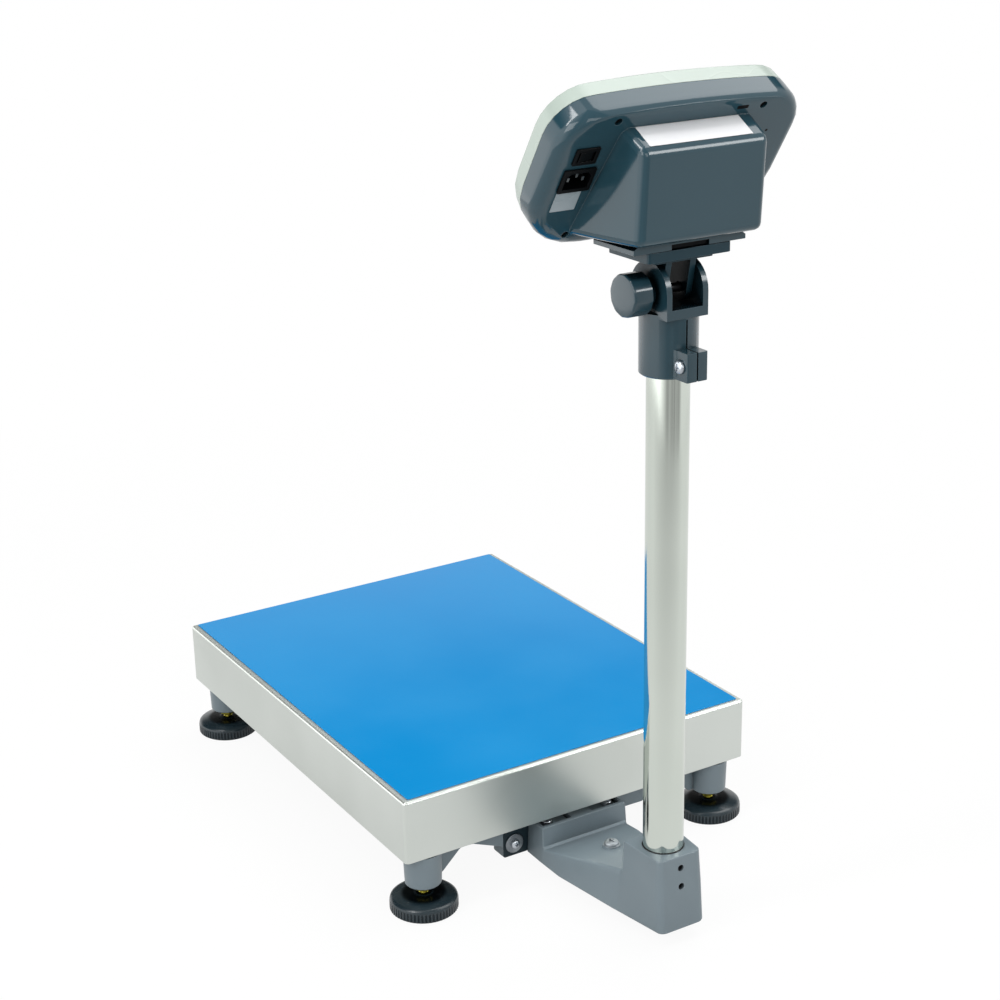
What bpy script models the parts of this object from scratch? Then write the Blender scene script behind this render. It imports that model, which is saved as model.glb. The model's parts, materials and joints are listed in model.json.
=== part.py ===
"""Bench platform scale with a column and a tilting indicator.

Metres, +Z up. The user stands in front, at -Y, and the column rises behind the tray, at +Y.
The origin is on the floor, below the middle of the whole machine.
"""

import math

import bmesh
import bpy
from mathutils import Matrix, Vector

# Clearances shared by every fit
SEAT_GAP = 0.0003
BORE_GAP = 0.0003
RUNNING_GAP = 0.0004

# Stainless tray and its blue cover film
TRAY_WIDTH = 0.400
TRAY_DEPTH = 0.500
TRAY_TOP = 0.129
TRAY_SKIRT = 0.065
TRAY_SHEET = 0.0012
TRAY_CORNER = 0.004
TRAY_BEND = 0.003
MAT_THICKNESS = 0.0008
MAT_INSET_X = 0.0062
MAT_INSET_Y = 0.0045

# Upper frame that carries the tray on four rubber pads
PAD_INSET_X = 0.040
PAD_INSET_Y = 0.042
PAD_HEIGHT = 0.008
PAD_RADIUS = 0.011
FLANGE_THICKNESS = 0.005
WEB_DEPTH = 0.0104
SPIDER_HALF_X = 0.040
SPIDER_HALF_Y = 0.086
ARM_RADIUS = 0.0145
WEB_HALF = 0.004

# Single point load cell between the frames
CELL_LENGTH = 0.150
CELL_WIDTH = 0.038
CELL_HEIGHT = 0.034
CELL_HOLE = 0.0095
CELL_HOLE_SPACING = 0.034
CELL_BOLT = 0.008
CELL_BOLT_PITCH = 0.020
CELL_BOLT_END = 0.018

# Cast lower frame on four levelling feet
FOOT_INSET_X = 0.0285
FOOT_INSET_Y = 0.0205
BOSS_RADIUS = 0.018
BOSS_BOTTOM = 0.0275
BEAM_TOP = 0.062
BEAM_THICKNESS = 0.018
BEAM_INSET = 0.024
BEAM_BOTTOM = 0.036
SPINE_HALF = 0.026
SPINE_WALL = 0.006
SPINE_BOTTOM = 0.040
LUG_X = 0.0664
LUG_WIDTH = 0.0250
LUG_REACH = 0.0080
LUG_BOTTOM = 0.021
LUG_SCREW_Z = 0.0345
STOP_OFFSET_X = 0.002
STOP_OFFSET_Y = 0.0075
STOP_BOLT = 0.008
STOP_GAP = 0.0008

# Levelling feet
FOOT_RADIUS = 0.0335
FOOT_HEIGHT = 0.0172
FOOT_FLUTES = 26
FOOT_STUD = 0.010
NUT_FLATS = 0.016
NUT_HEIGHT = 0.006

# Cast bracket behind the tray, which holds the column
COLUMN_SETBACK = 0.1337
COLUMN_DIAMETER = 0.038
COLUMN_WALL = 0.0015
SOCKET_TOP = 0.088
SOCKET_FLOOR = 0.024
SOCKET_BACK = 0.0321
SOCKET_FRONT = 0.0247
SOCKET_CORNER = 0.0065
BRACKET_BOTTOM = 0.0145
BRACKET_HALF_FRONT = 0.0510
BRACKET_HALF_BACK = 0.0255
BRACKET_DRAFT = 0.0040
BLOCK_TOP = 0.0568
BLOCK_LENGTH = 0.026
POCKET_FLOOR = 0.0442
BRACKET_BOLT = 0.006
BRACKET_BOLT_X = 0.036
WEDGE_SCREW_TOP = 0.0475

# Clamp collar and fork at the top of the column
COLLAR_RADIUS = 0.0257
COLLAR_HEIGHT = 0.0523
FORK_DROP = 0.0205
FORK_WIDTH = 0.0425
FORK_GAP = 0.0318
FORK_FLOOR = 0.0085
PIVOT_HEIGHT = 0.6175
FORK_RADIUS = 0.0263
EAR_HALF = 0.0106
EAR_BACK = 0.041
EAR_HEIGHT = 0.0250
CLAMP_SLIT = 0.0015
CLAMP_SCREW = 0.005

# Tilt knob with its stud
KNOB_RADIUS = 0.0190
KNOB_LENGTH = 0.0195
KNOB_SIDES = 12
HUB_LENGTH = 0.007
TILT_STUD = 0.008
TILT_NUT_FLATS = 0.013
TILT_NUT_HEIGHT = 0.0065

# Bracket under the indicator
LUG_RADIUS = 0.0115
LUG_THICKNESS = 0.006
BRIDGE_BOTTOM = 0.0275
BRIDGE_WIDTH = 0.060
BRIDGE_DEPTH = 0.042
PLATE_BOTTOM = 0.031
PLATE_THICKNESS = 0.0087
PLATE_WIDTH = 0.085
PLATE_DEPTH = 0.058
SLIDE_WIDTH = 0.114
SLIDE_THICKNESS = 0.0082

# Indicator: its face leans back from the vertical, and its floor is level
FACE_TILT = math.radians(33.5)
FACE_FOOT = 0.0372
HEAD_HALF_WIDTH = 0.1212
HEAD_TOP = 0.1326
HEAD_BOTTOM = -0.0150
HEAD_CORNER = 0.036
HEAD_FOOT_CORNER = 0.055
HEAD_CROWN = 0.0030
REAR_DEPTH = 0.0235
FRONT_DEPTH = 0.0155
SHELL_WALL = 0.0025
REAR_ROUND = 0.0110
REAR_INSET_SIDE = 0.0090
REAR_INSET_TOP = 0.0030
REAR_INSET_FOOT = 0.0075
FRONT_TAPER = 0.0012
FRONT_FILLET = 0.0030

# Battery housing moulded on the back of the indicator
HOUSING_BACK = 0.0445
HOUSING_LEAN = 0.0059
HOUSING_HEIGHT = 0.0792
HOUSING_TOP = 0.1129
HOUSING_HALF_BACK = 0.0632
HOUSING_HALF_TOP = 0.0650
HOUSING_HALF_FOOT = 0.0790
HOUSING_ROUND = 0.007

# Window, keys, switch and inlet
WINDOW_WIDTH = 0.160
WINDOW_HEIGHT = 0.048
WINDOW_CENTRE = 0.092
WINDOW_THICKNESS = 0.0012
WINDOW_LEDGE = 0.002
KEYPAD_WIDTH = 0.190
KEYPAD_HEIGHT = 0.044
KEYPAD_CENTRE = 0.028
KEY_COUNT = 6
SCREW_TOP_X = 0.0721
SCREW_TOP_Y = 0.1206
SCREW_FOOT_X = 0.0800
SCREW_FOOT_Y = 0.0010
SWITCH_X = 0.0915
SWITCH_Y = 0.0886
SWITCH_WIDTH = 0.0190
SWITCH_HEIGHT = 0.0130
INLET_Y = 0.0635
INLET_WIDTH = 0.0270
INLET_HEIGHT = 0.0200
FLANGE_RIM = 0.0018

# Battery and transformer
BATTERY_LENGTH = 0.101
BATTERY_WIDTH = 0.047
BATTERY_HEIGHT = 0.068
TERMINAL_SIZE = 0.006
TERMINAL_HEIGHT = 0.004
CORE_WIDTH = 0.028
CORE_LENGTH = 0.035
CORE_HEIGHT = 0.014
WINDING_HEIGHT = 0.006
BOARD_WIDTH = 0.184
BOARD_FOOT = 0.010
BOARD_TOP = 0.114
BOARD_THICKNESS = 0.0016
BOARD_DEPTH = 0.0045

# Places that follow from the sizes above
PAD_X = TRAY_WIDTH / 2 - PAD_INSET_X
PAD_Y = TRAY_DEPTH / 2 - PAD_INSET_Y
FOOT_X = TRAY_WIDTH / 2 - FOOT_INSET_X
FOOT_Y = TRAY_DEPTH / 2 - FOOT_INSET_Y
BEAM_OUTER_Y = TRAY_DEPTH / 2 - BEAM_INSET
WEDGE_SCREW_Y = SEAT_GAP + 0.0732 - BEAM_INSET - COLUMN_SETBACK
STOP_X = PAD_X - STOP_OFFSET_X
STOP_Y = PAD_Y + STOP_OFFSET_Y
FORK_BOTTOM = PIVOT_HEIGHT - FORK_DROP
COLLAR_BOTTOM = FORK_BOTTOM - COLLAR_HEIGHT
REACH_FRONT = FOOT_Y + FOOT_RADIUS
REACH_BACK = TRAY_DEPTH / 2 + COLUMN_SETBACK + HOUSING_BACK + HOUSING_LEAN
TRAY_Y = (REACH_FRONT - REACH_BACK) / 2
COLUMN_Y = TRAY_Y + TRAY_DEPTH / 2 + COLUMN_SETBACK
TRAY_UNDERSIDE = TRAY_TOP - TRAY_SHEET
FRAME_TOP = TRAY_UNDERSIDE - PAD_HEIGHT - 2 * SEAT_GAP
FLANGE_BOTTOM = FRAME_TOP - FLANGE_THICKNESS
WEB_BOTTOM = FLANGE_BOTTOM - WEB_DEPTH
CELL_TOP = WEB_BOTTOM - SEAT_GAP
CELL_BOTTOM = CELL_TOP - CELL_HEIGHT
SPINE_TOP = CELL_BOTTOM - SEAT_GAP
COLUMN_RADIUS = COLUMN_DIAMETER / 2
FLOOR_RISE = PLATE_BOTTOM + PLATE_THICKNESS + SLIDE_THICKNESS + 2 * SEAT_GAP
FRONT_FACE = REAR_DEPTH + SEAT_GAP + FRONT_DEPTH


for old in list(bpy.data.objects):
    bpy.data.objects.remove(old, do_unlink=True)


def new_material(name, colour, roughness, metallic=0.0):
    made = bpy.data.materials.new(name)
    made.use_nodes = True
    shader = made.node_tree.nodes["Principled BSDF"]
    shader.inputs["Base Color"].default_value = (*colour, 1.0)
    shader.inputs["Roughness"].default_value = roughness
    shader.inputs["Metallic"].default_value = metallic
    return made


STEEL = new_material("brushed_stainless", (0.62, 0.64, 0.61), 0.32, 1.0)
POLISHED = new_material("polished_stainless", (0.72, 0.74, 0.70), 0.14, 1.0)
BLUE_FILM = new_material("blue_film", (0.01, 0.26, 0.72), 0.35)
CAST_GREY = new_material("painted_casting", (0.22, 0.27, 0.29), 0.45)
ALUMINIUM = new_material("machined_aluminium", (0.68, 0.69, 0.70), 0.35, 1.0)
BLACK_PLASTIC = new_material("black_plastic", (0.012, 0.016, 0.018), 0.45)
RUBBER = new_material("rubber", (0.02, 0.02, 0.02), 0.8)
YELLOW_ZINC = new_material("yellow_zinc", (0.42, 0.36, 0.06), 0.4, 1.0)
ZINC = new_material("zinc_plate", (0.62, 0.63, 0.65), 0.3, 1.0)
SLATE_PLASTIC = new_material("slate_plastic", (0.07, 0.10, 0.12), 0.25)
BRACKET_PLASTIC = new_material("bracket_plastic", (0.045, 0.058, 0.066), 0.4)
PALE_PLASTIC = new_material("pale_plastic", (0.72, 0.78, 0.70), 0.35)
CLEAR = new_material("window_plastic", (0.25, 0.30, 0.26), 0.08)
DISPLAY = new_material("display_glass", (0.35, 0.42, 0.33), 0.2)
KEY_FILM = new_material("key_film", (0.10, 0.20, 0.38), 0.4)
BOARD_GREEN = new_material("board_green", (0.02, 0.16, 0.07), 0.4)
BATTERY_GREY = new_material("battery_case", (0.10, 0.10, 0.11), 0.5)


def new_empty(name, location, parent=None, rotation=(0, 0, 0)):
    empty = bpy.data.objects.new(name, None)
    bpy.context.collection.objects.link(empty)
    empty.parent = parent
    empty.location = location
    empty.rotation_euler = rotation
    return empty


def new_piece(name, bm, material, parent=None, location=(0, 0, 0), rotation=(0, 0, 0)):
    """Turns a bmesh into a smooth-shaded object with crisp edges."""
    bmesh.ops.recalc_face_normals(bm, faces=bm.faces)
    mesh = bpy.data.meshes.new(name)
    bm.to_mesh(mesh)
    bm.free()
    mesh.materials.append(material)
    mesh.shade_smooth()
    mesh.set_sharp_from_angle(angle=math.radians(32))
    piece = bpy.data.objects.new(name, mesh)
    bpy.context.collection.objects.link(piece)
    piece.parent = parent
    piece.location = location
    piece.rotation_euler = rotation
    return piece


def combine(target, tool, operation):
    """Boolean with a helper object, which stays in the scene as a wire guide."""
    modifier = target.modifiers.new(operation.lower(), "BOOLEAN")
    modifier.operation = operation
    modifier.object = tool
    tool.hide_render = True
    tool.display_type = "WIRE"


def helper(target, bm, operation, location=(0, 0, 0), rotation=(0, 0, 0)):
    """Makes a helper solid in the target's own frame and combines the two."""
    name = f"{target.name}_{operation.lower()}_{len(target.modifiers)}"
    material = target.data.materials[0]
    tool = new_piece(name, bm, material, target, location, rotation)
    combine(target, tool, operation)


def cut(target, bm, location=(0, 0, 0), rotation=(0, 0, 0)):
    helper(target, bm, "DIFFERENCE", location, rotation)


def join(target, bm, location=(0, 0, 0), rotation=(0, 0, 0)):
    helper(target, bm, "UNION", location, rotation)


def round_edges(piece, width, segments=2, angle=40):
    bevel = piece.modifiers.new("edges", "BEVEL")
    bevel.width = width
    bevel.segments = segments
    bevel.limit_method = "ANGLE"
    bevel.angle_limit = math.radians(angle)
    bevel.use_clamp_overlap = True


def rounded(corners, radii, steps=4):
    """Closed outline through the corners, with each corner turned into an arc."""
    outline = []
    count = len(corners)
    for index, corner in enumerate(corners):
        radius = radii[index] if isinstance(radii, (list, tuple)) else radii
        here = Vector(corner)
        if radius == 0:
            outline.append(tuple(here))
            continue
        before = (Vector(corners[index - 1]) - here).normalized()
        after = (Vector(corners[(index + 1) % count]) - here).normalized()
        half = before.angle(after) / 2
        centre = here + (before + after).normalized() * radius / math.sin(half)
        start = here + before * radius / math.tan(half) - centre
        stop = here + after * radius / math.tan(half) - centre
        first = math.atan2(start.y, start.x)
        turn = math.atan2(stop.y, stop.x) - first
        turn = (turn + math.pi) % (2 * math.pi) - math.pi
        for step in range(steps + 1):
            angle = first + turn * step / steps
            outline.append((centre.x + radius * math.cos(angle), centre.y + radius * math.sin(angle)))
    return outline


def rectangle(half_x, half_y, radius=0.0, steps=3, centre=(0.0, 0.0)):
    x, y = centre
    corners = [(x + half_x, y - half_y), (x + half_x, y + half_y), (x - half_x, y + half_y), (x - half_x, y - half_y)]
    return rounded(corners, radius, steps)


def circle(radius, steps=24, centre=(0.0, 0.0), turn=0.0):
    angles = [turn + 2 * math.pi * step / steps for step in range(steps)]
    return [(centre[0] + radius * math.cos(a), centre[1] + radius * math.sin(a)) for a in angles]


def hexagon(flats, turn=0.0):
    return circle(flats / math.sqrt(3), 6, turn=turn)


def across(axis, a, b, c):
    """Point with (a, b) across the axis and c along it."""
    return {"X": (c, a, b), "Y": (a, c, b), "Z": (a, b, c)}[axis]


def prism(outline, low, high, axis="Z"):
    """Closed solid: the outline drawn across an axis and extruded along it."""
    bm = bmesh.new()
    face = bm.faces.new([bm.verts.new(across(axis, a, b, low)) for a, b in outline])
    grown = bmesh.ops.extrude_face_region(bm, geom=[face])["geom"]
    moved = [item for item in grown if isinstance(item, bmesh.types.BMVert)]
    bmesh.ops.translate(bm, verts=moved, vec=across(axis, 0, 0, high - low))
    return bm


def box(x, y, z):
    """Closed block from three (low, high) pairs."""
    bm = prism([(x[0], y[0]), (x[1], y[0]), (x[1], y[1]), (x[0], y[1])], z[0], z[1])
    return bm


def loft(rings):
    """Closed solid through rings of equal count, with flat ends."""
    bm = bmesh.new()
    loops = [[bm.verts.new(point) for point in ring] for ring in rings]
    for lower, upper in zip(loops, loops[1:]):
        for index in range(len(lower)):
            after = (index + 1) % len(lower)
            bm.faces.new((lower[index], lower[after], upper[after], upper[index]))
    bm.faces.new(loops[0])
    bm.faces.new(loops[-1])
    return bm


def turned(profile, steps=32, closed=False):
    """Closed solid: a profile of (radius, height) points spun about Z."""
    bm = bmesh.new()
    verts = [bm.verts.new((radius, 0, height)) for radius, height in profile]
    pairs = list(zip(verts, verts[1:]))
    if closed:
        pairs.append((verts[-1], verts[0]))
    edges = [bm.edges.new(pair) for pair in pairs]
    bmesh.ops.spin(
        bm, geom=verts + edges, cent=(0, 0, 0), axis=(0, 0, 1), angle=2 * math.pi, steps=steps, use_merge=True
    )
    bmesh.ops.remove_doubles(bm, verts=bm.verts, dist=1e-6)
    return bm


def cylinder(radius, low, high, steps=24, axis="Z", centre=(0.0, 0.0)):
    return prism(circle(radius, steps, centre), low, high, axis)


tray_centre = new_empty("tray_centre", (0, TRAY_Y, 0))
column_axis = new_empty("column_axis", (0, COLUMN_Y, 0))
head_pivot = new_empty("head_pivot", (0, 0, PIVOT_HEIGHT), column_axis)


def make_tray():
    """Stainless pan: one sheet folded down on four sides, open below, with a loose blue film on top."""
    outline = rectangle(TRAY_WIDTH / 2, TRAY_DEPTH / 2, TRAY_CORNER, 3)
    bm = prism(outline, TRAY_TOP - TRAY_SKIRT, TRAY_TOP)
    bm.faces.ensure_lookup_table()
    level = sorted((face for face in bm.faces if len(face.verts) > 4), key=lambda face: face.calc_center_median().z)
    bmesh.ops.delete(bm, geom=[level[0]], context="FACES_ONLY")
    bmesh.ops.bevel(
        bm, geom=list(level[1].edges), offset=TRAY_BEND, segments=3, profile=0.5, affect="EDGES", clamp_overlap=True
    )
    tray = new_piece("load_tray", bm, STEEL, tray_centre)
    sheet = tray.modifiers.new("sheet", "SOLIDIFY")
    sheet.thickness = TRAY_SHEET
    sheet.offset = -1.0
    half = (TRAY_WIDTH / 2 - MAT_INSET_X, TRAY_DEPTH / 2 - MAT_INSET_Y)
    film = prism(rectangle(*half, 0.002, 2), TRAY_TOP + SEAT_GAP, TRAY_TOP + SEAT_GAP + MAT_THICKNESS)
    new_piece("tray_mat", film, BLUE_FILM, tray_centre)


def spider_outline(half_x, half_y, arm_half, waist, reach):
    """Plan of the upper frame: a middle block with an arm to each tray pad."""
    corners = []
    radii = []
    for sign_x, sign_y in ((1, 1), (-1, 1), (-1, -1), (1, -1)):
        pad = Vector((sign_x * PAD_X, sign_y * PAD_Y))
        along = (pad - Vector((sign_x * half_x, sign_y * half_y)) / 2).normalized()
        side = Vector((along.y, -along.x)) * arm_half
        tip = pad + along * reach
        near_x = (sign_x * half_x, sign_y * waist)
        near_y = (sign_x * waist * 0.6, sign_y * half_y)
        arm = [near_x, tuple(tip + side), tuple(tip - side), near_y]
        if sign_x * sign_y < 0:
            arm = [near_y, tuple(tip + side), tuple(tip - side), near_x]
        corners += arm
        radii += [0.006, arm_half * 0.9, arm_half * 0.9, 0.006]
    return rounded(corners, radii, 3)


def make_upper_frame():
    """Aluminium spider: a flanged X with deep webs, seated on the front end of the load cell."""
    frame = new_piece(
        "upper_frame",
        prism(spider_outline(SPIDER_HALF_X, SPIDER_HALF_Y, ARM_RADIUS, 0.034, ARM_RADIUS), FLANGE_BOTTOM, FRAME_TOP),
        ALUMINIUM,
        tray_centre,
    )
    web_x = SPIDER_HALF_X - 0.010
    web_y = SPIDER_HALF_Y - 0.008
    web = spider_outline(web_x, web_y, WEB_HALF, 0.030, -0.012)
    join(frame, prism(web, WEB_BOTTOM, FLANGE_BOTTOM + 0.001))
    for sign_y in (-1, 1):
        low, high = sorted((sign_y * 0.012, sign_y * (web_y - WEB_HALF)))
        pocket_x = web_x - WEB_HALF
        if sign_y > 0:
            cut(frame, box((-pocket_x, pocket_x), (low, high), (WEB_BOTTOM - 0.001, FLANGE_BOTTOM)))
    for place in cell_bolt_places(-1):
        cut(frame, cylinder(CELL_BOLT / 2 + BORE_GAP, WEB_BOTTOM - 0.001, FRAME_TOP + 0.001, 16, centre=(0, place)))
        cut(frame, cylinder(0.0072, FLANGE_BOTTOM, FRAME_TOP + 0.001, 20, centre=(0, place)))
    pad_profile = [(0, 0), (PAD_RADIUS, 0), (PAD_RADIUS, PAD_HEIGHT - 0.0015), (PAD_RADIUS - 0.0015, PAD_HEIGHT)]
    for index, (sign_x, sign_y) in enumerate(((1, 1), (-1, 1), (-1, -1), (1, -1)), start=1):
        pad = turned(pad_profile + [(0, PAD_HEIGHT)], 20)
        place = (sign_x * PAD_X, sign_y * PAD_Y, FRAME_TOP + SEAT_GAP)
        new_piece(f"tray_pad_{index}", pad, RUBBER, tray_centre, place)


def cell_bolt_places(sign):
    """Distances along the cell of the two bolts at one end: -1 is the front end, 1 the rear end."""
    outer = CELL_LENGTH / 2 - CELL_BOLT_END + CELL_BOLT_PITCH / 2
    return [sign * (outer - CELL_BOLT_PITCH / 2 + offset * CELL_BOLT_PITCH / 2) for offset in (-1, 1)]


def socket_bolt(diameter, head, head_height, length, drive):
    """Cap screw with its head up and its seat at height zero."""
    radius = diameter / 2
    profile = [(0, -length), (radius - 0.0006, -length), (radius, -length + 0.0006), (radius, 0), (head / 2, 0)]
    profile += [(head / 2, head_height - 0.0006), (head / 2 - 0.0006, head_height), (0, head_height)]
    bolt = turned(profile, 14)
    recess = prism(hexagon(drive), head_height * 0.45, head_height + 0.001)
    return bolt, recess


def new_bolt(name, parts, material, parent, location, rotation=(0, 0, 0)):
    bolt, recess = parts
    piece = new_piece(name, bolt, material, parent, location, rotation)
    cut(piece, recess)


def make_load_cell():
    """Single point cell: an aluminium bar with the twin bores that let it bend, bolted at both ends."""
    half = (CELL_WIDTH / 2, CELL_LENGTH / 2)
    cell = new_piece("load_cell", prism(rectangle(*half), CELL_BOTTOM, CELL_TOP), ALUMINIUM, tray_centre)
    round_edges(cell, 0.0008, 1)
    middle = (CELL_TOP + CELL_BOTTOM) / 2
    for sign in (-1, 1):
        bore = circle(CELL_HOLE, 20, (sign * CELL_HOLE_SPACING / 2, middle))
        cut(cell, prism(bore, -CELL_WIDTH, CELL_WIDTH, "X"))
    slot = rectangle(CELL_HOLE_SPACING / 2, CELL_HOLE * 0.45, centre=(0, middle))
    cut(cell, prism(slot, -CELL_WIDTH, CELL_WIDTH, "X"))
    depth = 0.012
    bolt_hole = CELL_BOLT / 2 + BORE_GAP
    for place in cell_bolt_places(-1):
        cut(cell, cylinder(bolt_hole, CELL_TOP - depth, CELL_TOP + 0.001, 16, centre=(0, place)))
    for place in cell_bolt_places(1):
        cut(cell, cylinder(bolt_hole, CELL_BOTTOM - 0.001, CELL_BOTTOM + depth, 16, centre=(0, place)))
    top_length = FLANGE_BOTTOM + SEAT_GAP - (CELL_TOP - depth + 0.001)
    for index, place in enumerate(cell_bolt_places(-1), start=1):
        parts = socket_bolt(CELL_BOLT, 0.013, 0.0046, top_length, 0.006)
        new_bolt(f"cell_bolt_top_{index}", parts, ZINC, tray_centre, (0, place, FLANGE_BOTTOM + SEAT_GAP))
    seat = SPINE_BOTTOM + 0.010
    low_length = CELL_BOTTOM + depth - 0.001 - (seat - SEAT_GAP)
    for index, place in enumerate(cell_bolt_places(1), start=1):
        parts = socket_bolt(CELL_BOLT, 0.013, 0.0075, low_length, 0.006)
        location = (0, place, seat - SEAT_GAP)
        new_bolt(f"cell_bolt_bottom_{index}", parts, ZINC, tray_centre, location, (math.pi, 0, 0))


def beam_outline(with_lug):
    """Side view of a cross beam: level on top and arched between the middle and each foot boss.

    The rear beam has one lug on its right, which reaches in behind the flange of the column bracket.
    """
    lug_in = LUG_X - LUG_WIDTH / 2 - LUG_REACH
    lug_out = LUG_X + LUG_WIDTH / 2
    shoulder = BEAM_BOTTOM - 0.002
    arch = [(FOOT_X - 0.0585, BEAM_TOP - 0.014), (FOOT_X - 0.0445, BEAM_TOP - 0.0135)]
    arch += [(FOOT_X - BOSS_RADIUS * 1.3, BOSS_BOTTOM + 0.001), (FOOT_X, BOSS_BOTTOM + 0.001), (FOOT_X, BEAM_TOP)]
    arch_radii = [0.006, 0.006, 0.003, 0, 0]
    plain = [(lug_out + 0.010, shoulder)] + arch
    plain_radii = [0.004] + arch_radii
    right = plain
    radii = plain_radii
    if with_lug:
        right = [(lug_in, BEAM_BOTTOM), (lug_in, LUG_BOTTOM), (lug_out, LUG_BOTTOM), (lug_out, shoulder)] + arch
        radii = [0.002, 0.0025, 0.0025, 0.003] + arch_radii
    left = [(-x, z) for x, z in reversed(plain)]
    return rounded(right + left, radii + plain_radii[::-1], 2)


def make_lower_frame():
    """Casting in the form of an I: two arched cross beams with foot bosses, and a channel spine between them."""
    rear = prism(beam_outline(True), BEAM_OUTER_Y - BEAM_THICKNESS, BEAM_OUTER_Y, "Y")
    frame = new_piece("lower_frame", rear, CAST_GREY, tray_centre)
    join(frame, prism(beam_outline(False), -BEAM_OUTER_Y, BEAM_THICKNESS - BEAM_OUTER_Y, "Y"))
    inner = BEAM_OUTER_Y - BEAM_THICKNESS
    spine_level = BEAM_TOP - 0.001
    reach = inner + 0.004
    join(frame, box((-SPINE_HALF, SPINE_HALF), (-reach, reach), (SPINE_BOTTOM, spine_level)))
    mount = cell_bolt_places(1)
    mount_low = min(mount) - 0.009
    mount_high = max(mount) + 0.009
    join(frame, box((-0.021, 0.021), (mount_low, mount_high), (SPINE_BOTTOM, SPINE_TOP)))
    channel_top = spine_level - SPINE_WALL
    channel_x = SPINE_HALF - SPINE_WALL
    for low, high in ((-inner + 0.004, mount_low - 0.002), (mount_high + 0.002, inner - 0.004)):
        cut(frame, box((-channel_x, channel_x), (low, high), (SPINE_BOTTOM - 0.001, channel_top)))
    boss = [(0, BOSS_BOTTOM), (BOSS_RADIUS - 0.001, BOSS_BOTTOM), (BOSS_RADIUS, BOSS_BOTTOM + 0.001)]
    boss += [(BOSS_RADIUS + 0.001, BEAM_TOP), (0, BEAM_TOP)]
    for sign_x, sign_y in ((1, 1), (-1, 1), (-1, -1), (1, -1)):
        join(frame, turned(boss, 22), (sign_x * FOOT_X, sign_y * FOOT_Y, 0))
    finger_half = (0.0440 - 0.0135) / 2
    for sign in (-1, 1):
        low, high = sorted((sign * (0.0135), sign * 0.0440))
        finger = box((low, high), (BEAM_OUTER_Y - 0.002, BEAM_OUTER_Y + 0.0200), (POCKET_FLOOR + SEAT_GAP, 0.0525))
        join(frame, finger)
        place = (sign * BRACKET_BOLT_X, BEAM_OUTER_Y + 0.0125)
        cut(frame, cylinder(BRACKET_BOLT / 2 + BORE_GAP, POCKET_FLOOR - 0.001, 0.0535, 16, centre=place))
    for sign_x, sign_y in ((1, 1), (-1, 1), (-1, -1), (1, -1)):
        foot = (sign_x * FOOT_X, sign_y * FOOT_Y)
        cut(frame, cylinder(FOOT_STUD / 2 + BORE_GAP, BOSS_BOTTOM - 0.001, BEAM_TOP - 0.003, 16, centre=foot))
        stop = (sign_x * STOP_X, sign_y * STOP_Y)
        cut(frame, cylinder(STOP_BOLT / 2 + BORE_GAP, BEAM_TOP - 0.018, BEAM_TOP + 0.001, 16, centre=stop))
    for place in mount:
        cut(frame, cylinder(CELL_BOLT / 2 + BORE_GAP, SPINE_BOTTOM - 0.001, SPINE_TOP + 0.001, 16, centre=(0, place)))
        cut(frame, cylinder(0.0075, SPINE_BOTTOM - 0.001, SPINE_BOTTOM + 0.010, 20, centre=(0, place)))
    screw = circle(0.0025 + BORE_GAP, 12, (LUG_X, LUG_SCREW_Z))
    cut(frame, prism(screw, BEAM_OUTER_Y - 0.012, BEAM_OUTER_Y + 0.001, "Y"))


def make_frame_fittings():
    """Overload stops, the bubble level and the washered screw on the rear beam."""
    stop_top = FLANGE_BOTTOM - STOP_GAP
    stop_height = stop_top - (BEAM_TOP - 0.017)
    head = 0.006
    for index, (sign_x, sign_y) in enumerate(((1, 1), (-1, 1), (-1, -1), (1, -1)), start=1):
        radius = STOP_BOLT / 2
        profile = [(0, -stop_height), (radius - 0.0006, -stop_height), (radius, 0.0006 - stop_height), (radius, -head)]
        stop = turned(profile + [(0, -head)], 16)
        place = (sign_x * STOP_X, sign_y * STOP_Y, stop_top)
        piece = new_piece(f"overload_stop_{index}", stop, ZINC, tray_centre, place)
        join(piece, prism(hexagon(0.013), -head - 0.0005, 0.0))
    vial = [(0, 0), (0.012, 0), (0.012, 0.007), (0.0105, 0.009), (0.0085, 0.009), (0, 0.0098)]
    place = (FOOT_X - 0.0435, BEAM_OUTER_Y - BEAM_THICKNESS / 2 - 0.002, BEAM_TOP + SEAT_GAP)
    new_piece("bubble_level", turned(vial, 22), CLEAR, tray_centre, place)
    washer = [(0.0031, 0), (0.0102, 0), (0.0102, 0.0012), (0.0094, 0.0017), (0.0031, 0.0017)]
    seat = (LUG_X, BEAM_OUTER_Y + SEAT_GAP, LUG_SCREW_Z)
    facing_back = (-math.pi / 2, 0, 0)
    new_piece("frame_washer", turned(washer, 18, closed=True), ZINC, tray_centre, seat, facing_back)
    screw = pan_screw(0.005, 0.0096, 0.0033, 0.011)
    screw_seat = (LUG_X, BEAM_OUTER_Y + 2 * SEAT_GAP + 0.0017, LUG_SCREW_Z)
    new_piece("frame_screw", screw, ZINC, tray_centre, screw_seat, facing_back)


def pan_screw(diameter, head, head_height, length):
    """Pan head screw with its head along +Z and its seat at height zero."""
    radius = diameter / 2
    profile = [(0, -length), (radius * 0.8, -length), (radius, -length + 0.0008), (radius, 0), (head / 2, 0)]
    profile += [(head / 2, head_height * 0.45), (head * 0.42, head_height * 0.82), (head * 0.25, head_height)]
    return turned(profile + [(0, head_height)], 14)


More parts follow.
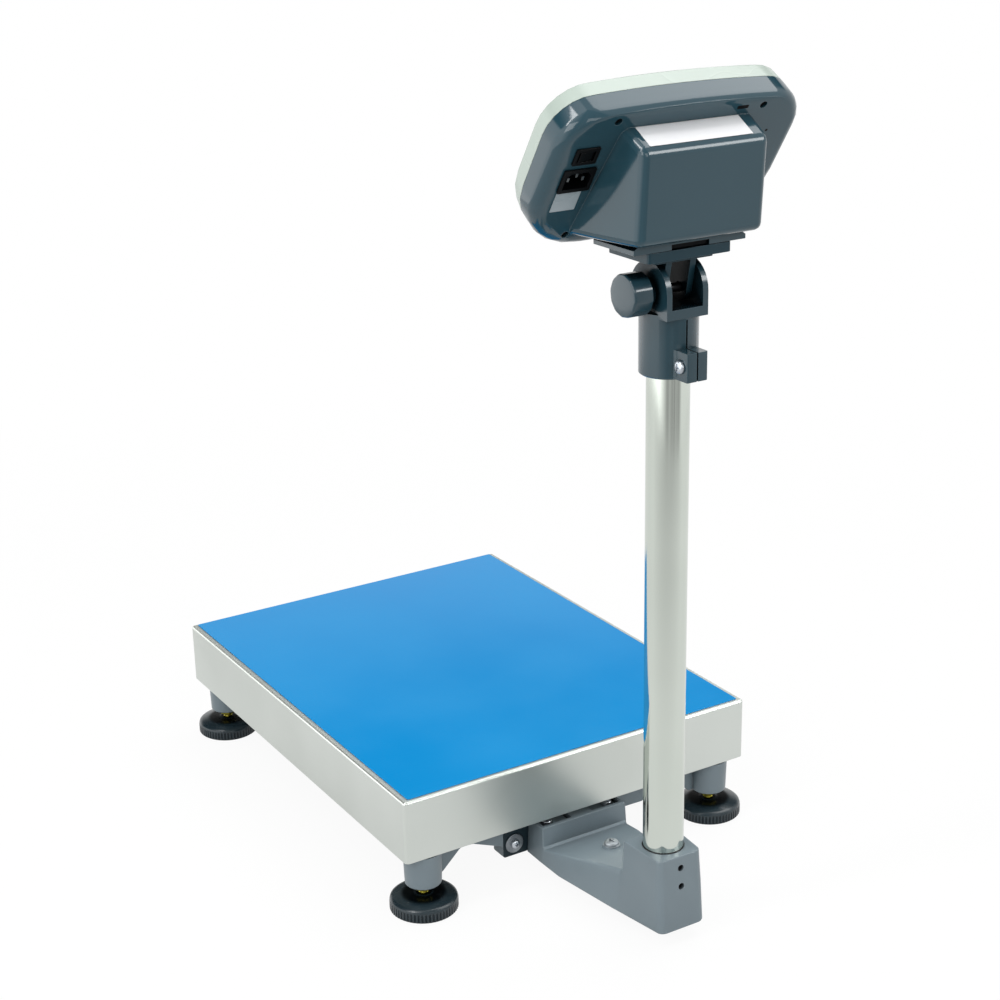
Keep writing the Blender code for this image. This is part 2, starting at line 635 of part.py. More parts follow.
def make_feet():
    """Four levelling feet: a fluted plastic pad on a zinc stud, locked by a thin nut under the boss."""
    ring = []
    for step in range(2 * FOOT_FLUTES):
        radius = FOOT_RADIUS if step % 2 else FOOT_RADIUS - 0.0012
        angle = math.pi * step / FOOT_FLUTES
        ring.append((math.cos(angle) * radius, math.sin(angle) * radius))
    shoulder = [(x * 0.90, y * 0.90) for x, y in circle(FOOT_RADIUS, 2 * FOOT_FLUTES)]
    crown = [(x * 0.55, y * 0.55) for x, y in circle(FOOT_RADIUS, 2 * FOOT_FLUTES)]
    levels = ((ring, 0.0), (ring, 0.0108), (shoulder, 0.0132), (crown, FOOT_HEIGHT))
    stud_foot = 0.006
    bore = FOOT_STUD / 2 + BORE_GAP
    for index, (sign_x, sign_y) in enumerate(((1, 1), (-1, 1), (-1, -1), (1, -1)), start=1):
        place = (sign_x * FOOT_X, sign_y * FOOT_Y, 0)
        pad = loft([[(x, y, z) for x, y in outline] for outline, z in levels])
        piece = new_piece(f"foot_pad_{index}", pad, BLACK_PLASTIC, tray_centre, place)
        cut(piece, cylinder(bore, stud_foot, FOOT_HEIGHT + 0.001, 20))
        radius = FOOT_STUD / 2
        top = BEAM_TOP - 0.0080
        low = stud_foot + SEAT_GAP
        profile = [(0, low), (radius, low), (radius, top - 0.001), (radius - 0.001, top), (0, top)]
        new_piece(f"foot_stud_{index}", turned(profile, 20), YELLOW_ZINC, tray_centre, place)
        nut_top = BOSS_BOTTOM - SEAT_GAP
        nut = prism(hexagon(NUT_FLATS, math.radians(12)), nut_top - NUT_HEIGHT, nut_top)
        nut_piece = new_piece(f"foot_nut_{index}", nut, YELLOW_ZINC, tray_centre, place)
        cut(nut_piece, cylinder(bore, nut_top - NUT_HEIGHT - 0.001, nut_top + 0.001, 20))


def bracket_section(y, half_low, half_mid, half_high, bottom, mid, top, corner, lean=0.0):
    """Cross-section of the bracket at one distance from the column: drafted flanks and rounded edges."""
    right = [(half_low, bottom), (half_mid, mid), (half_high, top)]
    left = [(-x, z) for x, z in reversed(right)]
    ring = rounded(right + left, [0.0015, 0, corner, corner, 0, 0.0015], 3)
    return [(x, y - lean * (z - BRACKET_BOTTOM), z) for x, z in ring]


def make_bracket():
    """Grey casting: a bolted block at the tray, a sloping wedge, and the socket that grips the column.

    One loft through cross-sections gives the flanks their draft and lets the edges run on as fillets.
    """
    front = BEAM_OUTER_Y + SEAT_GAP - TRAY_DEPTH / 2 - COLUMN_SETBACK
    block_back = front + BLOCK_LENGTH
    low = BRACKET_BOTTOM
    wide = BRACKET_HALF_FRONT
    narrow = BRACKET_HALF_BACK
    root = -SOCKET_FRONT
    back = SOCKET_BACK
    lean = 0.005 / (SOCKET_TOP - low)
    sections = [
        bracket_section(front, wide, wide - 0.001, wide - 0.002, low + 0.0046, 0.035, BLOCK_TOP, 0.0015),
        bracket_section(block_back, wide, wide - 0.001, wide - 0.002, low + 0.0040, 0.035, BLOCK_TOP, 0.0015),
        bracket_section(block_back + 0.001, wide, wide - 0.001, wide - 0.002, low + 0.0040, 0.033, 0.0370, 0.0015),
        bracket_section(block_back + 0.003, wide, wide - 0.001, wide - 0.003, low + 0.0040, 0.032, 0.0350, 0.0015),
        bracket_section(block_back + 0.028, wide - 0.001, 0.0475, 0.0450, low + 0.003, 0.0345, 0.0405, 0.003),
        bracket_section(root - 0.004, 0.0370, 0.0305, 0.0280, low + 0.001, 0.0500, 0.0562, 0.003),
        bracket_section(root - 0.001, 0.0364, 0.0290, 0.0275, low + 0.001, 0.0550, 0.0590, 0.002),
        bracket_section(root, 0.0362, 0.0288, 0.0275, low + 0.001, 0.0560, SOCKET_TOP - 0.001, 0.0015),
        bracket_section(root + 0.001, 0.0360, 0.0287, 0.0275, low + 0.001, 0.0560, SOCKET_TOP, 0.0015),
    ]
    for step in range(5):
        angle = math.pi / 2 * step / 4
        half = narrow - SOCKET_CORNER * (1 - math.cos(angle))
        y = back - SOCKET_CORNER * (1 - math.sin(angle))
        top = SOCKET_TOP - 0.0010 * (step == 4)
        sections.append(bracket_section(y, half + 0.0006, half, half - 0.0012, low, 0.056, top, 0.0015, lean))
    casting = new_piece("column_bracket", loft(sections), CAST_GREY, column_axis)
    foot = [(x, y, 0.030) for x, y in circle(0.0130, 24)]
    seat = [(x, y, WEDGE_SCREW_TOP) for x, y in circle(0.0085, 24)]
    join(casting, loft([foot, seat]), (0, WEDGE_SCREW_Y, 0))
    cut(casting, cylinder(COLUMN_RADIUS + BORE_GAP, SOCKET_FLOOR, SOCKET_TOP + 0.001, 40))
    cut(casting, cylinder(0.006, BRACKET_BOTTOM - 0.001, SOCKET_FLOOR + 0.001, 16))
    rim = block_back - 0.0046
    for sign in (-1, 1):
        low, high = sorted((sign * 0.012, sign * 0.0455))
        cut(casting, box((low, high), (front - 0.001, rim), (POCKET_FLOOR, BLOCK_TOP + 0.001)))
        place = (sign * BRACKET_BOLT_X, front - SEAT_GAP + 0.0125)
        cut(casting, cylinder(BRACKET_BOLT / 2 + BORE_GAP, POCKET_FLOOR - 0.0125, POCKET_FLOOR + 0.001, 16, centre=place))
        narrow_low, narrow_high = sorted((sign * 0.0025, sign * 0.0245))
        wide_low, wide_high = sorted((sign * 0.0025, sign * 0.0430))
        near = front + 0.006
        far = -COLUMN_RADIUS - 0.008
        hollow = [(wide_low, near), (wide_high, near), (narrow_high, far), (narrow_low, far)]
        cut(casting, prism(hollow, BRACKET_BOTTOM - 0.001, 0.0285))
    screw_hole = cylinder(0.0025 + BORE_GAP, WEDGE_SCREW_TOP - 0.0140, WEDGE_SCREW_TOP + 0.001, 12)
    cut(casting, screw_hole, (0, WEDGE_SCREW_Y, 0))
    for height in set_screw_heights():
        hole = circle(0.003 + BORE_GAP, 12, (0, height))
        cut(casting, prism(hole, COLUMN_RADIUS - 0.002, SOCKET_BACK + 0.002, "Y"))


def set_screw_heights():
    return SOCKET_TOP - 0.0121, SOCKET_TOP - 0.0307


def make_bracket_fittings():
    """The two bolts in the block, the screw on the wedge and the two grub screws that lock the column."""
    front = BEAM_OUTER_Y + SEAT_GAP - TRAY_DEPTH / 2 - COLUMN_SETBACK
    for index, sign in enumerate((1, -1), start=1):
        parts = socket_bolt(BRACKET_BOLT, 0.0105, 0.0040, 0.0190, 0.004)
        place = (sign * BRACKET_BOLT_X, front - SEAT_GAP + 0.0125, 0.0525 + SEAT_GAP)
        new_bolt(f"bracket_bolt_{index}", parts, ZINC, column_axis, place)
    screw = pan_screw(0.005, 0.0145, 0.0036, 0.0125)
    new_piece("bracket_screw", screw, ZINC, column_axis, (0, WEDGE_SCREW_Y, WEDGE_SCREW_TOP + SEAT_GAP))
    for index, height in enumerate(set_screw_heights(), start=1):
        grub = prism(circle(0.003, 12), COLUMN_RADIUS + SEAT_GAP, COLUMN_RADIUS + 0.0070)
        piece = new_piece(f"column_set_screw_{index}", grub, ZINC, column_axis, (0, 0, height), (-math.pi / 2, 0, 0))
        cut(piece, prism(hexagon(0.003), COLUMN_RADIUS + 0.0045, COLUMN_RADIUS + 0.008))


def make_column():
    """Polished tube from the socket floor to just under the fork."""
    inner = COLUMN_RADIUS - COLUMN_WALL
    low = SOCKET_FLOOR + SEAT_GAP
    high = FORK_BOTTOM - 0.006 - SEAT_GAP
    wall = [(inner, low), (COLUMN_RADIUS, low), (COLUMN_RADIUS, high), (inner, high)]
    new_piece("column_tube", turned(wall, 40, closed=True), POLISHED, column_axis)


def make_collar():
    """Plastic clamp collar, slit behind, with a screw through its ears and a fork for the tilt joint on top."""
    radius = COLLAR_RADIUS
    body = [(0, COLLAR_BOTTOM), (radius - 0.001, COLLAR_BOTTOM), (radius, COLLAR_BOTTOM + 0.001)]
    body += [(radius, FORK_BOTTOM + 0.003), (0, FORK_BOTTOM + 0.003)]
    collar = new_piece("column_collar", turned(body, 40), BRACKET_PLASTIC, column_axis)
    arch = [(-FORK_RADIUS, FORK_BOTTOM), (FORK_RADIUS, FORK_BOTTOM)]
    arch += [
        (FORK_RADIUS * math.cos(math.pi * step / 16), PIVOT_HEIGHT + FORK_RADIUS * math.sin(math.pi * step / 16))
        for step in range(17)
    ]
    join(collar, prism(arch, -FORK_WIDTH / 2, FORK_WIDTH / 2, "X"))
    gap = FORK_GAP / 2
    top = PIVOT_HEIGHT + FORK_RADIUS + 0.001
    wide = FORK_RADIUS + 0.001
    cut(collar, box((-gap, gap), (-wide, wide), (FORK_BOTTOM + FORK_FLOOR, top)))
    ear_low = COLLAR_BOTTOM + 0.001
    right = [(0.0185, 0.0150), (EAR_HALF, 0.0240), (EAR_HALF, EAR_BACK)]
    left = [(-x, y) for x, y in reversed(right)]
    ear = rounded(right + left, [0, 0.004, 0.0012, 0.0012, 0.004, 0], 2)
    join(collar, prism(ear, ear_low, ear_low + EAR_HEIGHT))
    bore_top = FORK_BOTTOM - 0.006
    cut(collar, cylinder(COLUMN_RADIUS + BORE_GAP, COLLAR_BOTTOM - 0.001, bore_top, 40))
    half_slit = CLAMP_SLIT / 2
    cut(collar, box((-half_slit, half_slit), (0.010, EAR_BACK + 0.001), (COLLAR_BOTTOM - 0.001, FORK_BOTTOM - 0.0015)))
    hole = circle(CLAMP_SCREW / 2 + BORE_GAP, 14, clamp_screw_place())
    cut(collar, prism(hole, -0.020, 0.020, "X"))
    pivot = circle(TILT_STUD / 2 + RUNNING_GAP, 20, (0, PIVOT_HEIGHT))
    cut(collar, prism(pivot, -FORK_WIDTH, FORK_WIDTH, "X"))


def clamp_screw_place():
    """Where the clamp screw crosses the ears, behind the column: distance back and height."""
    return EAR_BACK - 0.0096, COLLAR_BOTTOM + 0.0133


def make_clamp_screw():
    back, height = clamp_screw_place()
    head_side = (EAR_HALF + SEAT_GAP, back, height)
    screw = pan_screw(CLAMP_SCREW, 0.0122, 0.0036, 2 * EAR_HALF + 0.0045)
    new_piece("collar_screw", screw, ZINC, column_axis, head_side, (0, math.pi / 2, 0))
    nut = prism(hexagon(0.008), 0, 0.003)
    place = (-EAR_HALF - SEAT_GAP, back, height)
    piece = new_piece("collar_nut", nut, ZINC, column_axis, place, (0, -math.pi / 2, 0))
    cut(piece, cylinder(CLAMP_SCREW / 2 + BORE_GAP, -0.001, 0.005, 14))


def make_tilt_knob():
    """Many-sided hand knob moulded on a stud that runs through the fork, with a nut on the far side."""
    seat = FORK_WIDTH / 2 + RUNNING_GAP
    outer = seat + HUB_LENGTH + KNOB_LENGTH
    corners = circle(KNOB_RADIUS, KNOB_SIDES, turn=math.radians(8))
    outline = rounded(corners, 0.004, 1)
    face = [(x * 0.94, y * 0.94) for x, y in outline]
    rings = ((outline, seat + HUB_LENGTH), (outline, outer - 0.001), (face, outer))
    grip = loft([[(a, b, c) for a, b in ring] for ring, c in rings])
    facing_side = (0, math.pi / 2, 0)
    knob = new_piece("tilt_knob", grip, BRACKET_PLASTIC, head_pivot, (0, 0, 0), facing_side)
    join(knob, turned([(0, seat), (0.0115, seat), (0.0125, seat + HUB_LENGTH + 0.001), (0, seat + HUB_LENGTH + 0.001)], 28))
    end = FORK_WIDTH / 2 + SEAT_GAP + TILT_NUT_HEIGHT + 0.002
    join(knob, cylinder(TILT_STUD / 2, -end, seat + 0.002, 20))
    nut_inner = FORK_WIDTH / 2 + SEAT_GAP
    nut = prism(hexagon(TILT_NUT_FLATS), nut_inner, nut_inner + TILT_NUT_HEIGHT)
    piece = new_piece("tilt_nut", nut, ZINC, head_pivot, (0, 0, 0), (0, -math.pi / 2, 0))
    cut(piece, cylinder(TILT_STUD / 2 + RUNNING_GAP, nut_inner - 0.001, nut_inner + TILT_NUT_HEIGHT + 0.001, 20))


def make_tilt_bracket():
    """Bracket under the indicator: two round lugs in the fork, a bridge over it, and the plate of the slide mount."""
    plate = rectangle(PLATE_WIDTH / 2, PLATE_DEPTH / 2, 0.003, 2)
    plate_top = PLATE_BOTTOM + PLATE_THICKNESS
    bracket = new_piece("tilt_bracket", prism(plate, PLATE_BOTTOM, plate_top), BRACKET_PLASTIC, head_pivot)
    bridge = rectangle(BRIDGE_WIDTH / 2, BRIDGE_DEPTH / 2, 0.002, 2)
    join(bracket, prism(bridge, BRIDGE_BOTTOM, PLATE_BOTTOM + 0.001))
    outer = FORK_GAP / 2 - RUNNING_GAP
    inner = outer - LUG_THICKNESS
    lug = [(LUG_RADIUS * math.cos(math.pi * step / 12), -LUG_RADIUS * math.sin(math.pi * step / 12)) for step in range(13)]
    lug += [(-BRIDGE_DEPTH / 2 + 0.004, BRIDGE_BOTTOM + 0.001), (BRIDGE_DEPTH / 2 - 0.004, BRIDGE_BOTTOM + 0.001)]
    for sign in (-1, 1):
        low, high = sorted((sign * inner, sign * outer))
        join(bracket, prism(lug, low, high, "X"))
    pivot = circle(TILT_STUD / 2 + RUNNING_GAP, 20)
    cut(bracket, prism(pivot, -FORK_WIDTH, FORK_WIDTH, "X"))
    slide_low = plate_top + SEAT_GAP
    slide_high = slide_low + SLIDE_THICKNESS
    half = SLIDE_WIDTH / 2
    dovetail = [(-half, slide_low), (half, slide_low), (half, slide_low + 0.004), (half - 0.006, slide_high)]
    dovetail += [(-half + 0.006, slide_high), (-half, slide_low + 0.004)]
    slide = new_piece("slide_plate", prism(dovetail, -PLATE_DEPTH / 2, PLATE_DEPTH / 2, "Y"), BRACKET_PLASTIC, head_pivot)
    latch = box((-0.019, 0.019), (PLATE_DEPTH / 2 - 0.008, PLATE_DEPTH / 2 + 0.001), (slide_low - 0.001, slide_low + 0.0045))
    cut(slide, latch)


def in_face_frame(x, back, up):
    """Turns a place level with the pivot (back, up) into the leaning frame of the indicator's back."""
    dy = back + FACE_FOOT
    dz = up - FLOOR_RISE
    height = dy * math.sin(FACE_TILT) + dz * math.cos(FACE_TILT)
    depth = -dy * math.cos(FACE_TILT) + dz * math.sin(FACE_TILT)
    return x, height, depth


def head_outline(depth, side=0.0, top=0.0, foot=0.0, tighter=0.0):
    """Front view of the indicator at one depth, drawn in by the given insets.

    The top and bottom edges are slightly crowned, and the lower corners are much rounder than the upper ones.
    """
    half = HEAD_HALF_WIDTH - side
    high = HEAD_TOP - HEAD_CROWN - top
    low = HEAD_BOTTOM + foot
    points = [(0.0, low)]
    for radius, centre_y, start in ((HEAD_FOOT_CORNER, low, -90), (HEAD_CORNER, high, 0)):
        radius -= tighter
        centre_y += radius if start else -radius
        for step in range(7):
            angle = math.radians(start + 90 * step / 6)
            points.append((half - radius + radius * math.cos(angle), centre_y + radius * math.sin(angle)))
    flat = half - HEAD_CORNER + tighter
    points += [(flat * share, high + HEAD_CROWN * (1 - share * share)) for share in (0.75, 0.5, 0.25)]
    points.append((0.0, high + HEAD_CROWN))
    points += [(-x, y) for x, y in reversed(points[1:-1])]
    return [(x, y, depth) for x, y in points]


def housing_solid(inset, base_depth):
    """Battery housing: a wedge with a level floor, whose base lies on the indicator's back."""
    floor = FLOOR_RISE + inset
    back = HOUSING_BACK - inset
    foot = in_face_frame(0, -FACE_FOOT, floor)
    heel = in_face_frame(0, back, floor)
    brow = in_face_frame(0, back + HOUSING_LEAN, FLOOR_RISE + HOUSING_HEIGHT)
    brow = (0, min(brow[1], HOUSING_TOP + 0.0015) - inset, brow[2])
    top = (0, HOUSING_TOP - inset, base_depth)
    slope = (heel[2] - foot[2]) / (heel[1] - foot[1])
    foot_height = foot[1] + (base_depth - foot[2]) / slope
    half_back = HOUSING_HALF_BACK - inset
    bm = bmesh.new()
    quads = []
    for half_foot, half_top, low, high in (
        (HOUSING_HALF_FOOT - inset, HOUSING_HALF_TOP - inset, (foot_height, base_depth), (top[1], base_depth)),
        (half_back, half_back, (heel[1], heel[2]), (brow[1], brow[2])),
    ):
        quads.append([bm.verts.new((sign * half, *place)) for sign, half, place in (
            (-1, half_foot, low), (1, half_foot, low), (1, half_top, high), (-1, half_top, high))])
    base, rear = quads
    bm.faces.new(base)
    bm.faces.new(rear)
    for index in range(4):
        after = (index + 1) % 4
        bm.faces.new((base[index], base[after], rear[after], rear[index]))
    rounding = max(HOUSING_ROUND - inset, 0.002)
    edges = [edge for edge in bm.edges if not all(vert in base for vert in edge.verts)]
    bmesh.ops.bevel(bm, geom=edges, offset=rounding, segments=4, profile=0.5, affect="EDGES", clamp_overlap=True)
    return bm


def shell_screw_places():
    return [(sign * x, y) for x, y in ((SCREW_TOP_X, SCREW_TOP_Y), (SCREW_FOOT_X, SCREW_FOOT_Y)) for sign in (1, -1)]


def make_rear_shell(face_frame):
    """Moulded rear shell: a round-cornered tray with the battery housing, screw bosses and panel cut-outs."""
    rings = [head_outline(REAR_DEPTH)]
    for step in range(5):
        angle = math.pi / 2 * step / 4
        share = 1 - math.cos(angle)
        insets = (REAR_INSET_SIDE * share, REAR_INSET_TOP * share, REAR_INSET_FOOT * share)
        rings.append(head_outline(REAR_ROUND * (1 - math.sin(angle)), *insets))
    shell = new_piece("rear_shell", loft(rings), SLATE_PLASTIC, head_pivot, *face_place())
    join(shell, housing_solid(0.0, 0.004))
    wall = SHELL_WALL
    hollow = [head_outline(REAR_DEPTH + 0.001, wall, wall, wall, wall)]
    hollow.append(head_outline(REAR_ROUND, wall + 0.0005, wall + 0.0005, wall + 0.0005, wall))
    insets = (wall + REAR_INSET_SIDE * 0.8, wall + REAR_INSET_TOP, wall + REAR_INSET_FOOT * 0.8)
    hollow.append(head_outline(wall, *insets, wall))
    cut(shell, loft(hollow))
    cut(shell, housing_solid(wall, 0.0045))
    for x, y in shell_screw_places():
        join(shell, cylinder(0.0055, 0.001, REAR_DEPTH - SEAT_GAP, 16, centre=(x, y)))
    for x, y in shell_screw_places():
        cut(shell, cylinder(0.0035, -0.002, REAR_DEPTH - 0.004, 16, centre=(x, y)))
        cut(shell, cylinder(0.0016, REAR_DEPTH - 0.005, REAR_DEPTH + 0.001, 12, centre=(x, y)))
    for half_x, half_y, centre_y in ((SWITCH_WIDTH, SWITCH_HEIGHT, SWITCH_Y), (INLET_WIDTH, INLET_HEIGHT, INLET_Y)):
        window = rectangle(half_x / 2 + BORE_GAP, half_y / 2 + BORE_GAP, centre=(SWITCH_X, centre_y))
        cut(shell, prism(window, -0.002, wall + 0.002))


def face_place():
    """Location and rotation of the indicator's leaning frame under the pivot empty."""
    return (0, -FACE_FOOT, FLOOR_RISE), (math.pi / 2 - FACE_TILT, 0, 0)


def make_front_shell():
    """Pale front shell with the window opening, its ledge, the key recess and the board bosses."""
    low = REAR_DEPTH + SEAT_GAP
    rings = [head_outline(low)]
    for step in range(4):
        angle = math.pi / 2 * step / 3
        inset = FRONT_FILLET * (1 - math.cos(angle))
        level = FRONT_FACE - FRONT_FILLET * (1 - math.sin(angle))
        rings.append(head_outline(level, FRONT_TAPER + inset, inset - 0.001, FRONT_TAPER + inset, -0.002))
    shell = new_piece("front_shell", loft(rings), PALE_PLASTIC, head_pivot, *face_place())
    wall = SHELL_WALL
    deep = wall + FRONT_TAPER
    hollow = [head_outline(low - 0.001, wall, wall, wall, wall), head_outline(FRONT_FACE - wall, deep, wall, deep, 0.0)]
    cut(shell, loft(hollow))
    for x, y in board_bosses():
        join(shell, cylinder(0.004, board_level() + BOARD_THICKNESS + SEAT_GAP, FRONT_FACE - wall + 0.001, 14, centre=(x, y)))
    for x, y in shell_screw_places():
        join(shell, cylinder(0.0045, low, FRONT_FACE - wall + 0.001, 14, centre=(x, y)))
        cut(shell, cylinder(0.0012, low - 0.001, low + 0.009, 10, centre=(x, y)))
    opening = rectangle(WINDOW_WIDTH / 2 - WINDOW_LEDGE, WINDOW_HEIGHT / 2 - WINDOW_LEDGE, centre=(0, WINDOW_CENTRE))
    cut(shell, prism(opening, low, FRONT_FACE + 0.001))
    ledge = rectangle(WINDOW_WIDTH / 2, WINDOW_HEIGHT / 2, 0.003, 3, (0, WINDOW_CENTRE))
    cut(shell, prism(ledge, FRONT_FACE - WINDOW_THICKNESS - SEAT_GAP, FRONT_FACE + 0.001))
    recess = rectangle(KEYPAD_WIDTH / 2, KEYPAD_HEIGHT / 2, 0.004, 3, (0, KEYPAD_CENTRE))
    cut(shell, prism(recess, FRONT_FACE - 0.0009, FRONT_FACE + 0.001))


def board_level():
    return REAR_DEPTH + BOARD_DEPTH


def board_bosses():
    return [(sign * (BOARD_WIDTH / 2 - 0.006), y) for y in (BOARD_FOOT + 0.006, BOARD_TOP - 0.006) for sign in (1, -1)]


def make_display():
    """Clear window, the display behind it, the film keypad with raised keys, and the main board."""
    half = (WINDOW_WIDTH / 2 - BORE_GAP, WINDOW_HEIGHT / 2 - BORE_GAP)
    pane = rectangle(*half, 0.003, 3, (0, WINDOW_CENTRE))
    pane_back = FRONT_FACE - WINDOW_THICKNESS
    new_piece("display_window", prism(pane, pane_back, FRONT_FACE), CLEAR, head_pivot, *face_place())
    inner = (WINDOW_WIDTH / 2 - WINDOW_LEDGE - BORE_GAP, WINDOW_HEIGHT / 2 - WINDOW_LEDGE - BORE_GAP)
    glass = rectangle(*inner, centre=(0, WINDOW_CENTRE))
    board_front = board_level() + BOARD_THICKNESS
    module = prism(glass, board_front + SEAT_GAP, pane_back - SEAT_GAP)
    new_piece("display_module", module, DISPLAY, head_pivot, *face_place())
    half = (KEYPAD_WIDTH / 2 - BORE_GAP, KEYPAD_HEIGHT / 2 - BORE_GAP)
    film = prism(rectangle(*half, 0.004, 3, (0, KEYPAD_CENTRE)), FRONT_FACE - 0.0006, FRONT_FACE)
    keypad = new_piece("keypad", film, KEY_FILM, head_pivot, *face_place())
    pitch = KEYPAD_WIDTH / (KEY_COUNT + 0.3)
    for index in range(KEY_COUNT):
        x = (index - (KEY_COUNT - 1) / 2) * pitch
        low = [(a, b, FRONT_FACE - 0.0003) for a, b in rectangle(0.0115, 0.0085, 0.003, 2, (x, KEYPAD_CENTRE))]
        high = [(a, b, FRONT_FACE + 0.0006) for a, b in rectangle(0.0105, 0.0075, 0.0025, 2, (x, KEYPAD_CENTRE))]
        join(keypad, loft([low, high]))
    middle = (BOARD_FOOT + BOARD_TOP) / 2
    sheet = rectangle(BOARD_WIDTH / 2, (BOARD_TOP - BOARD_FOOT) / 2, 0.003, 2, (0, middle))
    board = new_piece("main_board", prism(sheet, board_level(), board_front), BOARD_GREEN, head_pivot, *face_place())
    for share, half_x, half_y, height in ((-0.33, 0.012, 0.006, 0.005), (0.25, 0.009, 0.009, 0.003)):
        part = rectangle(half_x, half_y, centre=(BOARD_WIDTH * share, BOARD_FOOT + 0.010))
        join(board, prism(part, board_level() - height, board_level() + 0.0005))


def make_switch():
    """Panel switch: a flanged housing and a rocker that turns on a pin across it."""
    flange = rectangle(SWITCH_WIDTH / 2 + FLANGE_RIM, SWITCH_HEIGHT / 2 + FLANGE_RIM, 0.001, 2)
    location, rotation = face_place()
    panel = new_empty("switch_panel", (0, 0, 0), head_pivot)
    panel.location = location
    panel.rotation_euler = rotation
    place = (SWITCH_X, SWITCH_Y, 0)
    housing = new_piece("switch_housing", prism(flange, -0.0018, -SEAT_GAP), BLACK_PLASTIC, panel, place)
    join(housing, prism(rectangle(SWITCH_WIDTH / 2, SWITCH_HEIGHT / 2), -0.0010, 0.0130))
    well = rectangle(SWITCH_WIDTH / 2 - 0.0014, SWITCH_HEIGHT / 2 - 0.0014)
    cut(housing, prism(well, -0.003, 0.0070))
    half = SWITCH_WIDTH / 2 - 0.0014 - RUNNING_GAP - 0.0006
    wave = [(-half, 0.0004), (-half, -0.0022), (-half * 0.5, -0.0026), (0, -0.0022), (half * 0.5, -0.0026)]
    wave += [(half, -0.0022), (half, 0.0004), (half * 0.35, 0.0035), (-half * 0.35, 0.0035)]
    deep = SWITCH_HEIGHT / 2 - 0.0014 - RUNNING_GAP
    pivot = (SWITCH_X, SWITCH_Y, 0.0010)
    tilted = Matrix.Rotation(math.radians(7), 4, "Y")
    rocker = prism(wave, -deep, deep, "Y")
    bmesh.ops.transform(rocker, matrix=tilted, verts=rocker.verts)
    new_piece("switch_rocker", rocker, BLACK_PLASTIC, panel, pivot)


def make_inlet():
    """Three-pin mains inlet snapped in the back of the indicator."""
    location, rotation = face_place()
    panel = new_empty("inlet_panel", location, head_pivot, rotation)
    place = (SWITCH_X, INLET_Y, 0)
    flange = rectangle(INLET_WIDTH / 2 + FLANGE_RIM, INLET_HEIGHT / 2 + FLANGE_RIM, 0.001, 2)
    inlet = new_piece("mains_inlet", prism(flange, -0.0022, -SEAT_GAP), BLACK_PLASTIC, panel, place)
    join(inlet, prism(rectangle(INLET_WIDTH / 2, INLET_HEIGHT / 2), -0.0010, 0.0180))
    half_x = INLET_WIDTH / 2 - 0.0015
    half_y = INLET_HEIGHT / 2 - 0.0017
    well = [(half_x, -half_y), (half_x, half_y - 0.004), (half_x - 0.004, half_y), (-half_x + 0.004, half_y)]
    well += [(-half_x, half_y - 0.004), (-half_x, -half_y)]
    cut(inlet, prism(well, -0.003, 0.0160))
    for x, y in ((0.0, 0.0035), (-0.007, -0.0005), (0.007, -0.0005)):
        join(inlet, prism(rectangle(0.0010, 0.0020, centre=(x, y)), 0.0010, 0.0165))


def make_power_parts():
    """Battery on the housing floor and the transformer on the rear wall."""
    floor = FLOOR_RISE + SHELL_WALL + SEAT_GAP
    back = HOUSING_BACK - SHELL_WALL - 0.0035
    plan = rectangle(BATTERY_LENGTH / 2, BATTERY_WIDTH / 2, 0.002, 1, (0, back - BATTERY_WIDTH / 2))
    top = floor + BATTERY_HEIGHT
    battery = new_piece("battery", prism(plan, floor, top), BATTERY_GREY, head_pivot)
    left = -BATTERY_LENGTH / 2
    for share in (0.25, 0.65):
        far = back - BATTERY_WIDTH * share
        x_span = (left, left + TERMINAL_SIZE)
        join(battery, box(x_span, (far - TERMINAL_SIZE, far), (top - 0.001, top + TERMINAL_HEIGHT)))
    low = SHELL_WALL + SEAT_GAP
    centre = (SCREW_FOOT_X - HEAD_HALF_WIDTH * 1.45, HEAD_TOP * 0.53)
    core = rectangle(CORE_WIDTH / 2, CORE_LENGTH / 2, centre=centre)
    transformer = new_piece("transformer", prism(core, low, low + CORE_HEIGHT), BATTERY_GREY, head_pivot, *face_place())
    winding = rectangle(CORE_WIDTH * 0.3, CORE_LENGTH * 0.36, 0.002, 2, centre)
    join(transformer, prism(winding, low + CORE_HEIGHT - 0.001, low + CORE_HEIGHT + WINDING_HEIGHT))


make_tray()
make_upper_frame()
make_load_cell()
make_lower_frame()
make_frame_fittings()
make_feet()
make_bracket()
make_bracket_fittings()
make_column()
make_collar()
make_clamp_screw()
make_tilt_knob()
make_tilt_bracket()
make_rear_shell(face_place())
make_front_shell()
make_display()
make_switch()
make_inlet()
make_power_parts()
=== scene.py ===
import json
import math

import bmesh
import bpy
from mathutils import Matrix, Vector


